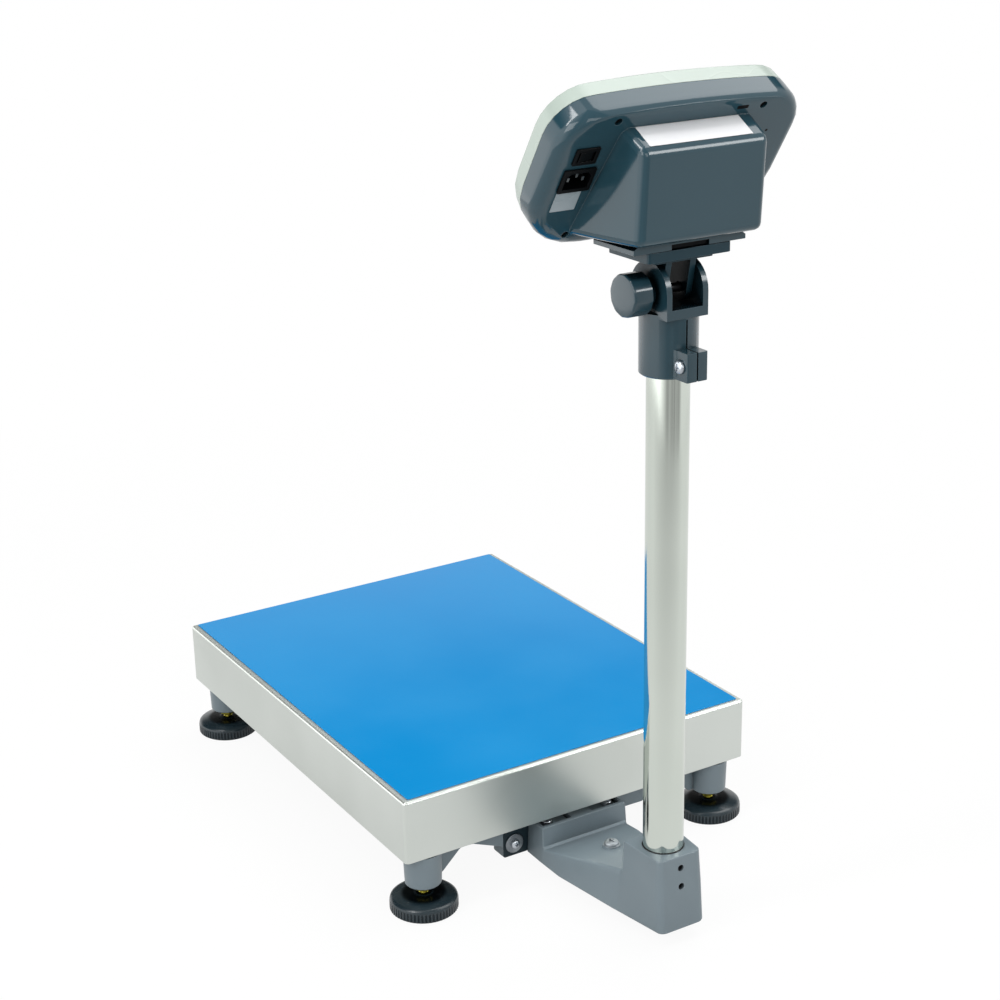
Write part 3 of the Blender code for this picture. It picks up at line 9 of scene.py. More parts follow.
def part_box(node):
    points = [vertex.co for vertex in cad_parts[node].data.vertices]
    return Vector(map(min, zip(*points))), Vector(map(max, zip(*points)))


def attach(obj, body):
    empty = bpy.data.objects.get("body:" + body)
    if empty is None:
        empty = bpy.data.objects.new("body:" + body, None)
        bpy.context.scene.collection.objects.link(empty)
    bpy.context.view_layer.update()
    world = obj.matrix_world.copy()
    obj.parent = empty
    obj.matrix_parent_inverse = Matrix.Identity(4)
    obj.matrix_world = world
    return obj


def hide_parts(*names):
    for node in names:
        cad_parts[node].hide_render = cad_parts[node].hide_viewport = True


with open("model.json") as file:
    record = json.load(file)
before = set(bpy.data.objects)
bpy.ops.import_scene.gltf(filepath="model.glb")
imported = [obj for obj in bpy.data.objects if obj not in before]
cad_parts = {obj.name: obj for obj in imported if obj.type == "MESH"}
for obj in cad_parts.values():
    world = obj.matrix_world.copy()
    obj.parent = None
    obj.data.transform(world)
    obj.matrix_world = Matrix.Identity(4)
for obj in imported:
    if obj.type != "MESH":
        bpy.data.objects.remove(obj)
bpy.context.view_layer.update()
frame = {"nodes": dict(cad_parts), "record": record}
nodes = frame["nodes"]

# The camera stands behind the scale, on the side of the tilt knob and the mains inlet.
# It is some 0.2 m higher than the indicator, and looks down at the tray.
CAMERA_PLACE = (0.9479, 1.58275, 1.0072)
CAMERA_RIGHT = Vector((-0.85161, 0.52380, -0.01904))
CAMERA_UP = Vector((-0.19360, -0.28060, 0.94009))
camera_data = bpy.data.cameras.new("photo_camera")
camera_data.sensor_width = 36.0
camera_data.lens = 69.88
camera = bpy.data.objects.new("photo_camera", camera_data)
camera_axes = Matrix((CAMERA_RIGHT, CAMERA_UP, CAMERA_RIGHT.cross(CAMERA_UP))).transposed()
camera.matrix_world = Matrix.Translation(CAMERA_PLACE) @ camera_axes.to_4x4()
bpy.context.scene.collection.objects.link(camera)
bpy.context.scene.camera = camera
bpy.context.scene.view_settings.view_transform = "Standard"

# The studio: a pale floor, clear from below, in a surround that the camera sees as plain white.
# Gloss and polished metal see a brighter wall on the right, a dimmer one behind the camera, a dark
# space high in front, and a bright window behind. Four soft boxes light the scale from round it.
world = bpy.data.worlds.new("studio_surround")
bpy.context.scene.world = world
world.use_nodes = True
sky = world.node_tree


def add_node(tree, kind, inputs, **settings):
    """Shader node with its settings; each input is a value or the output of another node."""
    node = tree.nodes.new(f"ShaderNode{kind}")
    for name, setting in settings.items():
        setattr(node, name, setting)
    for name, value in inputs.items():
        if isinstance(value, bpy.types.NodeSocket):
            tree.links.new(value, node.inputs[name])
        else:
            node.inputs[name].default_value = value
    return node


def sky_math(operation, *inputs):
    """Math on numbers and outputs in the surround."""
    return add_node(sky, "Math", dict(enumerate(inputs)), operation=operation).outputs[0]


def sky_step(value, start, end):
    """Soft step from 0 at start to 1 at end."""
    inputs = {"Value": value, "From Min": start, "From Max": end}
    return add_node(sky, "MapRange", inputs, interpolation_type="SMOOTHSTEP").outputs["Result"]


def sky_band(value, rise, fall):
    """1 between two soft edges: it rises over the first range and falls over the second."""
    return sky_math("MULTIPLY", sky_step(value, *rise), sky_step(value, *reversed(fall)))


# Bearings are in radians from +X towards +Y, and heights are the sine of the elevation.
DIM_WALL_ACROSS = ((0.50, 0.85), (2.00, 2.25))
WINDOW_ACROSS = ((2.05, 2.15), (2.54, 2.64))
WINDOW_HIGH = ((0.28, 0.34), (0.50, 0.56))
WINDOW_STRENGTH = 9.0
DARK_SHARE = 0.99
LAMP_LEVEL = 0.60
sky_place = add_node(sky, "TexCoord", {}).outputs["Generated"]
east, north, up = add_node(sky, "SeparateXYZ", {0: sky_place}).outputs
bearing = sky_math("ARCTAN2", north, east)
panels = add_node(sky, "TexNoise", {"W": bearing, "Scale": 5.0}, noise_dimensions="1D").outputs[0]
uneven = sky_math("MULTIPLY_ADD", panels, 0.7, 0.15)
dimming = sky_math("MULTIPLY", sky_band(bearing, *DIM_WALL_ACROSS), uneven)
off_right = sky_math("ABSOLUTE", sky_math("ADD", bearing, 0.5))
right_wall = sky_math("ADD", sky_step(off_right, 1.15, 0.55), 1.0)
walls = sky_math("MULTIPLY", right_wall, sky_math("SUBTRACT", 1.0, dimming))
high_front = sky_math("MULTIPLY", sky_step(up, 0.342, 0.445), sky_step(north, 0.0, -0.35))
room = sky_math("MULTIPLY", walls, sky_math("MULTIPLY_ADD", high_front, -DARK_SHARE, 1.0))
window = sky_math("MULTIPLY", sky_band(bearing, *WINDOW_ACROSS), sky_band(up, *WINDOW_HIGH))
reflected = sky_math("MULTIPLY_ADD", window, WINDOW_STRENGTH, room)
sky_rays = add_node(sky, "LightPath", {}).outputs
seen = sky_math("MAXIMUM", sky_rays["Is Camera Ray"], sky_rays["Is Transmission Ray"])
lit = add_node(sky, "Mix", {"Factor": sky_rays["Is Glossy Ray"], "A": LAMP_LEVEL, "B": reflected})
level = add_node(sky, "Mix", {"Factor": seen, "A": lit.outputs["Result"], "B": 1.0})
surround = sky.nodes["Background"]
surround.inputs["Color"].default_value = (1.0, 1.0, 1.0, 1.0)
sky.links.new(level.outputs["Result"], surround.inputs["Strength"])

FLOOR_RADIUS = 1.75
FLOOR_GREY = (0.48, 0.48, 0.475, 1.0)
FLOOR_PALE = (0.90, 0.90, 0.895, 1.0)
UNDER_TRAY = (0.0, -0.085, 0.0)
REARWARD = (0.51, 0.86, 0.0)
floor_mesh = bpy.data.meshes.new("studio_floor")
floor_bm = bmesh.new()
bmesh.ops.create_circle(floor_bm, cap_ends=True, radius=FLOOR_RADIUS, segments=64)
floor_bm.to_mesh(floor_mesh)
floor_bm.free()
studio_floor = bpy.data.objects.new("studio_floor", floor_mesh)
bpy.context.scene.collection.objects.link(studio_floor)
floor_paint = bpy.data.materials.new("studio_floor_paint")
floor_paint.use_nodes = True
floor_mesh.materials.append(floor_paint)
paint = floor_paint.node_tree


def floor_range(value, start, end, low=0.0, high=1.0, **settings):
    """Value of the floor that runs from low at start to high at end."""
    inputs = {"Value": value, "From Min": start, "From Max": end, "To Min": low, "To Max": high}
    return add_node(paint, "MapRange", inputs, **settings).outputs["Result"]


def floor_measure(operation, *inputs):
    """Length, distance or direction on the floor."""
    node = add_node(paint, "VectorMath", dict(enumerate(inputs)), operation=operation)
    return node.outputs["Value"]


# For gloss the floor glows, a painted light that dims towards the camera's side, and under and
# beside the tray it shows its own lit shade instead. The camera sees it nearly white, lamps see it
# grey.
paint_rays = add_node(paint, "LightPath", {}).outputs
by_camera, by_gloss = paint_rays["Is Camera Ray"], paint_rays["Is Glossy Ray"]
paint_place = add_node(paint, "TexCoord", {}).outputs["Object"]
fade = floor_range(floor_measure("LENGTH", paint_place), 0.75, 1.6, 0.93, 1.0)
faded = add_node(paint, "Math", {0: fade, 1: by_camera}, operation="MULTIPLY").outputs[0]
from_tray = floor_measure("DISTANCE", paint_place, UNDER_TRAY)
beside_tray = floor_range(from_tray, 0.10, 0.32, high=0.85, interpolation_type="SMOOTHSTEP")
share_inputs = {0: by_gloss, 1: beside_tray, 2: faded}
share = add_node(paint, "Math", share_inputs, operation="MULTIPLY_ADD", use_clamp=True)
far = floor_range(floor_measure("DOT_PRODUCT", paint_place, REARWARD), 0.45, 1.6, 0.97, 0.62)
glow_level = add_node(paint, "Mix", {"Factor": by_gloss, "A": 1.0, "B": far}).outputs["Result"]
glow = add_node(paint, "Emission", {"Strength": glow_level}).outputs["Emission"]
tone_inputs = {"Factor": by_camera, "A": FLOOR_GREY, "B": FLOOR_PALE}
floor_tone = add_node(paint, "Mix", tone_inputs, data_type="RGBA").outputs["Result"]
paint_shader = paint.nodes["Principled BSDF"]
paint_shader.inputs["Roughness"].default_value = 0.9
paint.links.new(floor_tone, paint_shader.inputs["Base Color"])
painted = add_node(paint, "MixShader", {0: share.outputs[0], 1: paint_shader.outputs[0], 2: glow})
from_below = add_node(paint, "NewGeometry", {}).outputs["Backfacing"]
clear = add_node(paint, "BsdfTransparent", {}).outputs["BSDF"]
faces = add_node(paint, "MixShader", {0: from_below, 1: painted.outputs[0], 2: clear})
paint.links.new(faces.outputs[0], paint.nodes["Material Output"].inputs["Surface"])

LAMPS_AIM = Vector((0.0, 0.15, 0.4))
for box_name, place, wide, long, watts in (
    ("over_box", (-1.9, -0.3, 4.0), 2.6, 2.6, 62.0),
    ("strip_box", (2.1, 0.15, 3.1), 0.4, 2.0, 26.0),
    ("side_box", (3.0, 1.6, 2.0), 1.8, 1.8, 32.0),
    ("rear_box", (0.2, 3.9, 1.9), 2.0, 2.0, 27.0),
):
    lamp = bpy.data.lights.new(box_name, "AREA")
    lamp.shape = "RECTANGLE"
    lamp.size = wide
    lamp.size_y = long
    lamp.energy = watts
    soft_box = bpy.data.objects.new(box_name, lamp)
    soft_box.location = place
    soft_box.rotation_euler = (LAMPS_AIM - Vector(place)).to_track_quat("-Z", "Y").to_euler()
    bpy.context.scene.collection.objects.link(soft_box)

# Load tray: one stainless sheet with its four sides folded down and the corners closed.
# The sides are brushed along the folds, and the top keeps the mill's matte finish.
TRAY_LOW, TRAY_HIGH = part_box("load_tray")
SHEET = 0.0012
FOLD = 0.0030
TRAY_CORNER = 0.0042
TRAY_RIM = 0.0075
CUT_EDGE = 0.0003


def surface_group(name, inputs, outputs):
    """New node group with its named inputs and outputs, and what the inputs are given."""
    group = bpy.data.node_groups.new(name, "ShaderNodeTree")
    new_socket = group.interface.new_socket
    for label, kind, value in inputs:
        socket = new_socket(name=label, in_out="INPUT", socket_type=f"NodeSocket{kind}")
        socket.default_value = value
    for label, kind in outputs:
        new_socket(name=label, in_out="OUTPUT", socket_type=f"NodeSocket{kind}")
    return group, group.nodes.new("NodeGroupInput").outputs


def put_out(group, **results):
    """Links a group's results to its outputs."""
    outputs = group.nodes.new("NodeGroupOutput").inputs
    for name, value in results.items():
        group.links.new(value, outputs[name])
    return group


def rolled_metal_group():
    """Grain stretched one way, drifting patches of tone, and polish that varies with both."""
    group, given = surface_group(
        "rolled_metal",
        (
            ("Tone", "Color", (0.6, 0.6, 0.6, 1.0)),
            ("Deep Tone", "Color", (0.5, 0.5, 0.5, 1.0)),
            ("Grain Stretch", "Vector", (1.0, 1.0, 1.0)),
            ("Patch Scale", "Float", 6.0),
            ("Grain Depth", "Float", 0.00002),
            ("Smooth", "Float", 0.2),
            ("Dull", "Float", 0.4),
        ),
        (("Colour", "Color"), ("Roughness", "Float"), ("Normal", "Vector")),
    )
    place = add_node(group, "TexCoord", {}).outputs["Object"]
    stretch_inputs = {0: place, 1: given["Grain Stretch"]}
    stretch = add_node(group, "VectorMath", stretch_inputs, operation="MULTIPLY").outputs[0]
    grain_inputs = {"Vector": stretch, "Scale": 90.0, "Detail": 5.0}
    grain = add_node(group, "TexNoise", grain_inputs).outputs["Fac"]
    patch_inputs = {"Vector": place, "Scale": given["Patch Scale"], "Detail": 2.0}
    patches = add_node(group, "TexNoise", patch_inputs).outputs["Fac"]
    rise_inputs = {"Value": patches, "From Min": 0.34, "From Max": 0.66}
    rise = add_node(group, "MapRange", rise_inputs).outputs["Result"]
    tone_inputs = {"Factor": rise, "A": given["Tone"], "B": given["Deep Tone"]}
    tone = add_node(group, "Mix", tone_inputs, data_type="RGBA").outputs["Result"]
    both = add_node(group, "Math", {0: grain, 1: 0.6, 2: rise}, operation="MULTIPLY_ADD").outputs[0]
    finish = add_node(group, "Mix", {"Factor": both, "A": given["Smooth"], "B": given["Dull"]})
    bump = add_node(group, "Bump", {"Height": grain, "Distance": given["Grain Depth"]})
    return put_out(
        group, Colour=tone, Roughness=finish.outputs["Result"], Normal=bump.outputs["Normal"]
    )


ROLLED_METAL = rolled_metal_group()


def dressed_material(name, surface_kind, inputs, **constants):
    """Material with a surface group on its shader, and the group's outputs there."""
    made = bpy.data.materials.new(name)
    made.use_nodes = True
    tree = made.node_tree
    shader = tree.nodes["Principled BSDF"]
    surface = add_node(tree, "Group", inputs, node_tree=surface_kind).outputs
    for constant, value in constants.items():
        shader.inputs[constant.replace("_", " ")].default_value = value
    tree.links.new(surface["Colour"], shader.inputs["Base Color"])
    tree.links.new(surface["Roughness"], shader.inputs["Roughness"])
    tree.links.new(surface["Normal"], shader.inputs["Normal"])
    return made, surface


def metal(name, tone, deep, stretch, grain_depth, smooth, dull, patch_scale=6.0):
    """Metal with its own tones, grain direction and polish."""
    inputs = {
        "Tone": (*tone, 1.0),
        "Deep Tone": (*deep, 1.0),
        "Grain Stretch": stretch,
        "Patch Scale": patch_scale,
        "Grain Depth": grain_depth,
        "Smooth": smooth,
        "Dull": dull,
    }
    return dressed_material(name, ROLLED_METAL, inputs, Metallic=1.0)[0]


def round_edges(part, width):
    """Small round on the part's sharp edges."""
    rounding = part.modifiers.new("rounding", "BEVEL")
    rounding.width = width
    rounding.segments = 2
    rounding.limit_method = "ANGLE"
    rounding.angle_limit = math.radians(38.0)


def even_shading(part):
    """Flat faces shade flat beside rounded edges."""
    shading = part.modifiers.new("shading", "WEIGHTED_NORMAL")
    shading.mode = "FACE_AREA_WITH_ANGLE"
    shading.weight = 60
    shading.keep_sharp = True


def new_part(name, bm, material, body, matrix=None, split=35.0, bevel=0.0):
    """Puts a bmesh in the scene as a smooth piece that rides on a body."""
    bmesh.ops.recalc_face_normals(bm, faces=bm.faces)
    mesh = bpy.data.meshes.new(name)
    bm.to_mesh(mesh)
    bm.free()
    mesh.materials.append(material)
    mesh.shade_smooth()
    mesh.set_sharp_from_angle(angle=math.radians(split))
    part = bpy.data.objects.new(name, mesh)
    if matrix is not None:
        part.matrix_world = matrix
    bpy.context.scene.collection.objects.link(part)
    if bevel:
        round_edges(part, bevel)
    even_shading(part)
    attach(part, body)
    return part


def outline_box(low, high, radius, steps):
    """Rounded rectangle, as (x, y) points anticlockwise from the bottom of its right side."""
    left, right = low[0] + radius, high[0] - radius
    bottom, top = low[1] + radius, high[1] - radius
    corners = ((right, bottom, -90), (right, top, 0), (left, top, 90), (left, bottom, 180))
    points = []
    for x, y, start in corners:
        for step in range(steps + 1):
            angle = math.radians(start + 90 * step / steps)
            points.append((x + radius * math.cos(angle), y + radius * math.sin(angle)))
    return points


def bridge(bm, loops):
    """Faces from each closed loop of vertices to the next; each loop has the same count."""
    for lower, upper in zip(loops, loops[1:]):
        for index in range(len(lower)):
            after = (index + 1) % len(lower)
            bm.faces.new((lower[index], lower[after], upper[after], upper[index]))


def skin(rings, caps=True):
    """Mesh through rings of points, closed at both ends if it has caps."""
    bm = bmesh.new()
    loops = [[bm.verts.new(point) for point in ring] for ring in rings]
    bridge(bm, loops)
    if caps:
        bm.faces.new(loops[0])
        bm.faces.new(loops[-1])
    return bm


def tray_sheet():
    """The folded sheet with its real thickness."""

    def ring(inset, z):
        low = (TRAY_LOW.x + inset, TRAY_LOW.y + inset)
        high = (TRAY_HIGH.x - inset, TRAY_HIGH.y - inset)
        return [(x, y, z) for x, y in outline_box(low, high, max(TRAY_CORNER - inset, 0.0008), 6)]

    top = TRAY_HIGH.z
    hem = TRAY_LOW.z
    outside = [(0.0, hem + CUT_EDGE), (0.0, top - 0.03), (0.0, top - FOLD)]
    for step in range(1, 7):
        angle = math.radians(90 * step / 6)
        outside.append((FOLD * (1 - math.cos(angle)), top - FOLD * (1 - math.sin(angle))))
    outside.append((TRAY_RIM, top))
    inside = [(TRAY_RIM, top - SHEET), (FOLD, top - SHEET), (SHEET, top - FOLD)]
    inside += [(SHEET, hem + CUT_EDGE), (SHEET * 0.75, hem), (SHEET * 0.25, hem)]
    sheet = skin([ring(*place) for place in outside], caps=False)
    count = len(ring(0, 0))
    sheet.verts.ensure_lookup_table()
    sheet.faces.new(sheet.verts[-count:])
    loops = [[sheet.verts.new(point) for point in ring(*place)] for place in inside]
    sheet.verts.ensure_lookup_table()
    sheet.faces.new(loops[0])
    bridge(sheet, loops + [sheet.verts[:count]])
    return sheet


def upward_group():
    """Mask of the faces that look up, from 0 on the sides to 1 on the top."""
    group, given = surface_group(
        "upward_faces",
        (("Slope Start", "Float", 0.80), ("Slope End", "Float", 0.97)),
        (("Mask", "Float"),),
    )
    facing = add_node(group, "SeparateXYZ", {0: add_node(group, "TexCoord", {}).outputs["Normal"]})
    slope_inputs = {
        "Value": facing.outputs["Z"],
        "From Min": given["Slope Start"],
        "From Max": given["Slope End"],
    }
    return put_out(group, Mask=add_node(group, "MapRange", slope_inputs).outputs["Result"])


UPWARD_FACES = upward_group()
MATTE_TOP = 0.62
TRAY_STEEL = metal(
    "tray_stainless",
    tone=(0.70, 0.735, 0.70), deep=(0.61, 0.645, 0.61),
    stretch=(2.0, 2.0, 40.0), grain_depth=0.000012, smooth=0.22, dull=0.34, patch_scale=5.0,
)
steel = TRAY_STEEL.node_tree
steel_roughness = steel.nodes["Principled BSDF"].inputs["Roughness"]
steel_top = add_node(steel, "Group", {}, node_tree=UPWARD_FACES).outputs["Mask"]
steel_polish = steel_roughness.links[0].from_socket
steel_finish = add_node(steel, "Mix", {"Factor": steel_top, "A": steel_polish, "B": MATTE_TOP})
steel.links.new(steel_finish.outputs["Result"], steel_roughness)
tray_piece = new_part("tray_sheet", tray_sheet(), TRAY_STEEL, "tray", split=40.0)
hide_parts("load_tray")

# Blue film: a loose cover sheet of soft plastic laid on the tray, a few millimetres inside its edge.
# It is glossy, with faint clouding where it has been handled.


def moulded_group():
    """Clouded tone, lighter edges, fine grain and uneven gloss for plastics, paint and rubber.

    The lighter edges are partly wear and partly a painted highlight. The tone falls off in deep
    recesses as painted shade, and the mask it puts out of what lies outside them carries that
    painted shade over to a coat.
    """
    group, given = surface_group(
        "moulded_surface",
        (
            ("Tone", "Color", (0.5, 0.5, 0.5, 1.0)),
            ("Cloud Tone", "Color", (0.4, 0.4, 0.4, 1.0)),
            ("Edge Tone", "Color", (0.7, 0.7, 0.7, 1.0)),
            ("Edge Radius", "Float", 0.0008),
            ("Cloud Scale", "Float", 8.0),
            ("Grain Scale", "Float", 1200.0),
            ("Grain Depth", "Float", 0.00002),
            ("Smooth", "Float", 0.3),
            ("Dull", "Float", 0.5),
            ("Shade Reach", "Float", 0.02),
            ("Shade Depth", "Float", 0.12),
        ),
        (("Colour", "Color"), ("Roughness", "Float"), ("Openness", "Float"), ("Normal", "Vector")),
    )
    place = add_node(group, "TexCoord", {}).outputs["Object"]
    cloud_inputs = {"Vector": place, "Scale": given["Cloud Scale"], "Detail": 3.0}
    clouds = add_node(group, "TexNoise", cloud_inputs).outputs["Fac"]
    spread_inputs = {"Value": clouds, "From Min": 0.35, "From Max": 0.65}
    spread = add_node(group, "MapRange", spread_inputs).outputs["Result"]
    tone_inputs = {"Factor": spread, "A": given["Tone"], "B": given["Cloud Tone"]}
    tone = add_node(group, "Mix", tone_inputs, data_type="RGBA").outputs["Result"]
    grain_inputs = {"Vector": place, "Scale": given["Grain Scale"], "Detail": 3.0}
    grain = add_node(group, "TexNoise", grain_inputs).outputs["Fac"]
    # Lighter edges where the rounded normal parts from the face's own: partly wear, partly a painted
    # highlight.
    rounded = add_node(group, "Bevel", {"Radius": given["Edge Radius"]}, samples=4).outputs["Normal"]
    facing = add_node(group, "NewGeometry", {}).outputs["Normal"]
    agree = add_node(group, "VectorMath", {0: rounded, 1: facing}, operation="DOT_PRODUCT")
    edge_inputs = {"Value": agree.outputs["Value"], "From Min": 0.995, "From Max": 0.90}
    edge = add_node(group, "MapRange", edge_inputs).outputs["Result"]
    wear_and_glint_inputs = {"Factor": edge, "A": tone, "B": given["Edge Tone"]}
    wear_and_glint = add_node(group, "Mix", wear_and_glint_inputs, data_type="RGBA").outputs["Result"]
    # Painted shade: the tone falls off where other faces come near, in recesses, under things and
    # between parts.
    recess = add_node(group, "AmbientOcclusion", {"Distance": given["Shade Reach"]}, samples=8)
    open_inputs = {
        "Value": recess.outputs["AO"],
        "From Min": given["Shade Depth"],
        "From Max": 0.60,
        "To Min": 0.08,
    }
    unshaded_share = add_node(group, "MapRange", open_inputs).outputs["Result"]
    shaded = add_node(group, "VectorMath", {0: wear_and_glint, "Scale": unshaded_share}, operation="SCALE")
    # The coat mask is painted shade too: it leaves gloss out of the recesses.
    unshaded_gloss = add_node(group, "Math", {0: unshaded_share, 1: unshaded_share}, operation="MULTIPLY")
    finish = add_node(group, "Mix", {"Factor": spread, "A": given["Smooth"], "B": given["Dull"]})
    bump_inputs = {"Height": grain, "Distance": given["Grain Depth"], "Normal": rounded}
    bump = add_node(group, "Bump", bump_inputs)
    return put_out(
        group,
        Colour=shaded.outputs["Vector"],
        Roughness=finish.outputs["Result"],
        Openness=unshaded_gloss.outputs[0],
        Normal=bump.outputs["Normal"],
    )


MOULDED_SURFACE = moulded_group()


def moulded(
    name, tone, cloud, edge, smooth, dull, grain_depth=0.00002, grain_scale=1200.0, cloud_scale=8.0,
    reach=0.02, depth=0.12, ior=1.5, coat=0.0,
):
    """Plastic, paint or rubber with its own tones and gloss.

    A coat is given as its roughness, and it leaves out the recesses, as painted shade. Reach and
    depth set the painted shade of recesses: how far it looks, and where it is deepest.
    """
    inputs = {
        "Tone": (*tone, 1.0),
        "Cloud Tone": (*cloud, 1.0),
        "Edge Tone": (*edge, 1.0),
        "Cloud Scale": cloud_scale,
        "Grain Scale": grain_scale,
        "Grain Depth": grain_depth,
        "Smooth": smooth,
        "Dull": dull,
        "Shade Reach": reach,
        "Shade Depth": depth,
    }
    made, surface = dressed_material(name, MOULDED_SURFACE, inputs, IOR=ior)
    if coat:
        shader = made.node_tree.nodes["Principled BSDF"]
        shader.inputs["Coat Roughness"].default_value = coat
        made.node_tree.links.new(surface["Openness"], shader.inputs["Coat Weight"])
    return made


def keep(names, material, bevel=0.0, split=35.0):
    """Keeps CAD nodes as they are, gives them their finish and evens their shading."""
    for name in names:
        node = nodes[name]
        for slot in node.material_slots:
            slot.material = material
        node.data.shade_smooth()
        weld = node.modifiers.new("weld", "WELD")
        weld.merge_threshold = 0.00001
        if bevel:
            round_edges(node, bevel)
        creases = node.modifiers.new("creases", "EDGE_SPLIT")
        creases.split_angle = math.radians(split)
        even_shading(node)


FILM_BLUE = moulded(
    "cover_film",
    tone=(0.0002, 0.265, 0.64), cloud=(0.0006, 0.285, 0.665), edge=(0.02, 0.34, 0.74),
    smooth=0.13, dull=0.22, grain_depth=0.00001, grain_scale=500.0, cloud_scale=5.0, ior=1.40,
)
keep(["tray_mat"], FILM_BLUE, bevel=0.0002)

# Upper frame: a cast aluminium spider that carries the tray on four rubber pads.
# The casting is bare, with a fine sand texture, and the pads are soft black rubber.
BARE_CASTING = metal(
    "bare_aluminium",
    tone=(0.66, 0.67, 0.68), deep=(0.50, 0.51, 0.52),
    stretch=(9.0, 9.0, 9.0), grain_depth=0.00008, smooth=0.38, dull=0.55, patch_scale=14.0,
)
PAD_RUBBER = moulded(
    "pad_rubber",
    tone=(0.02, 0.02, 0.021), cloud=(0.032, 0.032, 0.034), edge=(0.05, 0.05, 0.05),
    smooth=0.62, dull=0.8, grain_depth=0.00005,
)
keep(["upper_frame"], BARE_CASTING, bevel=0.0004)
keep([f"tray_pad_{index}" for index in range(1, 5)], PAD_RUBBER, bevel=0.0003)

# Load cell: a milled aluminium bar with two bores, held by two cap screws at each end.
# The tool marks run along the bar. The screws, and the overload stops beside it, are zinc plated.
MILLED_BAR = metal(
    "milled_bar",
    tone=(0.72, 0.73, 0.74), deep=(0.62, 0.63, 0.64),
    stretch=(40.0, 1.5, 40.0), grain_depth=0.00001, smooth=0.22, dull=0.36, patch_scale=12.0,
)
ZINC_PLATE = metal(
    "zinc_plate",
    tone=(0.56, 0.60, 0.64), deep=(0.42, 0.45, 0.49),
    stretch=(14.0, 14.0, 14.0), grain_depth=0.00001, smooth=0.24, dull=0.40, patch_scale=60.0,
)
keep(["load_cell"], MILLED_BAR, bevel=0.0004)
SCREWS = [f"cell_bolt_{side}_{index}" for side in ("top", "bottom") for index in (1, 2)]
SCREWS += [f"overload_stop_{index}" for index in range(1, 5)]
keep(SCREWS, ZINC_PLATE, bevel=0.0003)

# Lower frame: an I-shaped casting in smooth grey paint, with a boss for each levelling foot.
# The paint is lighter on the edges of the ribs, partly wear and partly a painted highlight, and
# darker under the tray and in recesses, as painted shade. A lug stands out of the rear beam; a thin
# black sheet on its rear face, under a dull zinc washer, is painted shade from the tray above it.
CASTING_PAINT = moulded(
    "casting_paint",
    tone=(0.200, 0.252, 0.283), cloud=(0.170, 0.215, 0.242), edge=(0.28, 0.33, 0.36),
    smooth=0.28, dull=0.42, grain_depth=0.00006, grain_scale=420.0, cloud_scale=9.0, reach=0.05,
)
DULL_ZINC = metal(
    "dull_zinc",
    tone=(0.30, 0.33, 0.35), deep=(0.20, 0.22, 0.24),
    stretch=(14.0, 14.0, 14.0), grain_depth=0.00002, smooth=0.32, dull=0.50, patch_scale=60.0,
)
# Painted shade: a near-black tone for the lug's rear face, in the tray's shadow.
LUG_SHADE_BLACK = moulded(
    "lug_shade_black",
    tone=(0.006, 0.016, 0.022), cloud=(0.009, 0.022, 0.029), edge=(0.03, 0.05, 0.06),
    smooth=0.26, dull=0.40, grain_depth=0.00003, ior=1.3,
)
keep(["lower_frame"], CASTING_PAINT, bevel=0.0008)
keep(["frame_washer"], DULL_ZINC, bevel=0.0003)
WASHER_LOW, WASHER_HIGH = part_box("frame_washer")
LUG_X = (WASHER_LOW.x + WASHER_HIGH.x) / 2
LUG_BACK = WASHER_LOW.y - 0.00028
LUG_SHADE_THICKNESS = 0.00024
lug_outline = outline_box((LUG_X - 0.0205, 0.0211), (LUG_X + 0.0124, 0.0490), 0.0024, 5)
lug_levels = (LUG_BACK, LUG_BACK + LUG_SHADE_THICKNESS)
lug_shade_sheet = skin([[(x, y, z) for x, z in lug_outline] for y in lug_levels])
lug_shade_piece = new_part("lug_shade_sheet", lug_shade_sheet, LUG_SHADE_BLACK, "base")

# Bubble level: a round vial of green liquid in a black rim, set on the rear cross beam.
# A ring is printed round the middle of the vial.
VIAL_LOW, VIAL_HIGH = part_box("bubble_level")
VIAL_HEIGHT = VIAL_HIGH.z - VIAL_LOW.z
VIAL_CENTRE = (VIAL_LOW + VIAL_HIGH) / 2


def circle(radius, steps):
    """Points round a circle, as (x, y)."""
    angles = [2 * math.pi * step / steps for step in range(steps)]
    return [(radius * math.cos(angle), radius * math.sin(angle)) for angle in angles]


def lathe(profile, steps=48):
    """Turned shape about its own Z axis from (radius, height) points; a point on it is a tip."""
    bm = bmesh.new()
    rings = []
    for radius, height in profile:
        if radius < 1e-7:
            rings.append([bm.verts.new((0, 0, height))])
        else:
            rings.append([bm.verts.new((x, y, height)) for x, y in circle(radius, steps)])
    for lower, upper in zip(rings, rings[1:]):
        if len(lower) == len(upper):
            bridge(bm, [lower, upper])
            continue
        tip, rim = (lower, upper) if len(lower) == 1 else (upper, lower)
        for index in range(steps):
            bm.faces.new((tip[0], rim[index], rim[(index + 1) % steps]))
    return bm


VIAL_GREEN = moulded(
    "vial_green",
    tone=(0.30, 0.62, 0.04), cloud=(0.36, 0.68, 0.06), edge=(0.5, 0.8, 0.2),
    smooth=0.04, dull=0.08, grain_depth=0.0,
)
VIAL_RIM = moulded(
    "vial_rim",
    tone=(0.03, 0.03, 0.03), cloud=(0.05, 0.05, 0.05), edge=(0.1, 0.1, 0.1),
    smooth=0.35, dull=0.5,
)
rim_profile = [
    (0.0, 0.0),
    (0.0119, 0.0),
    (0.0119, VIAL_HEIGHT - 0.0012),
    (0.0110, VIAL_HEIGHT - 0.0002),
    (0.0092, VIAL_HEIGHT - 0.0002),
    (0.0088, VIAL_HEIGHT - 0.0010),
    (0.0, VIAL_HEIGHT - 0.0010),
]
rim_place = Matrix.Translation((VIAL_CENTRE.x, VIAL_CENTRE.y, VIAL_LOW.z))
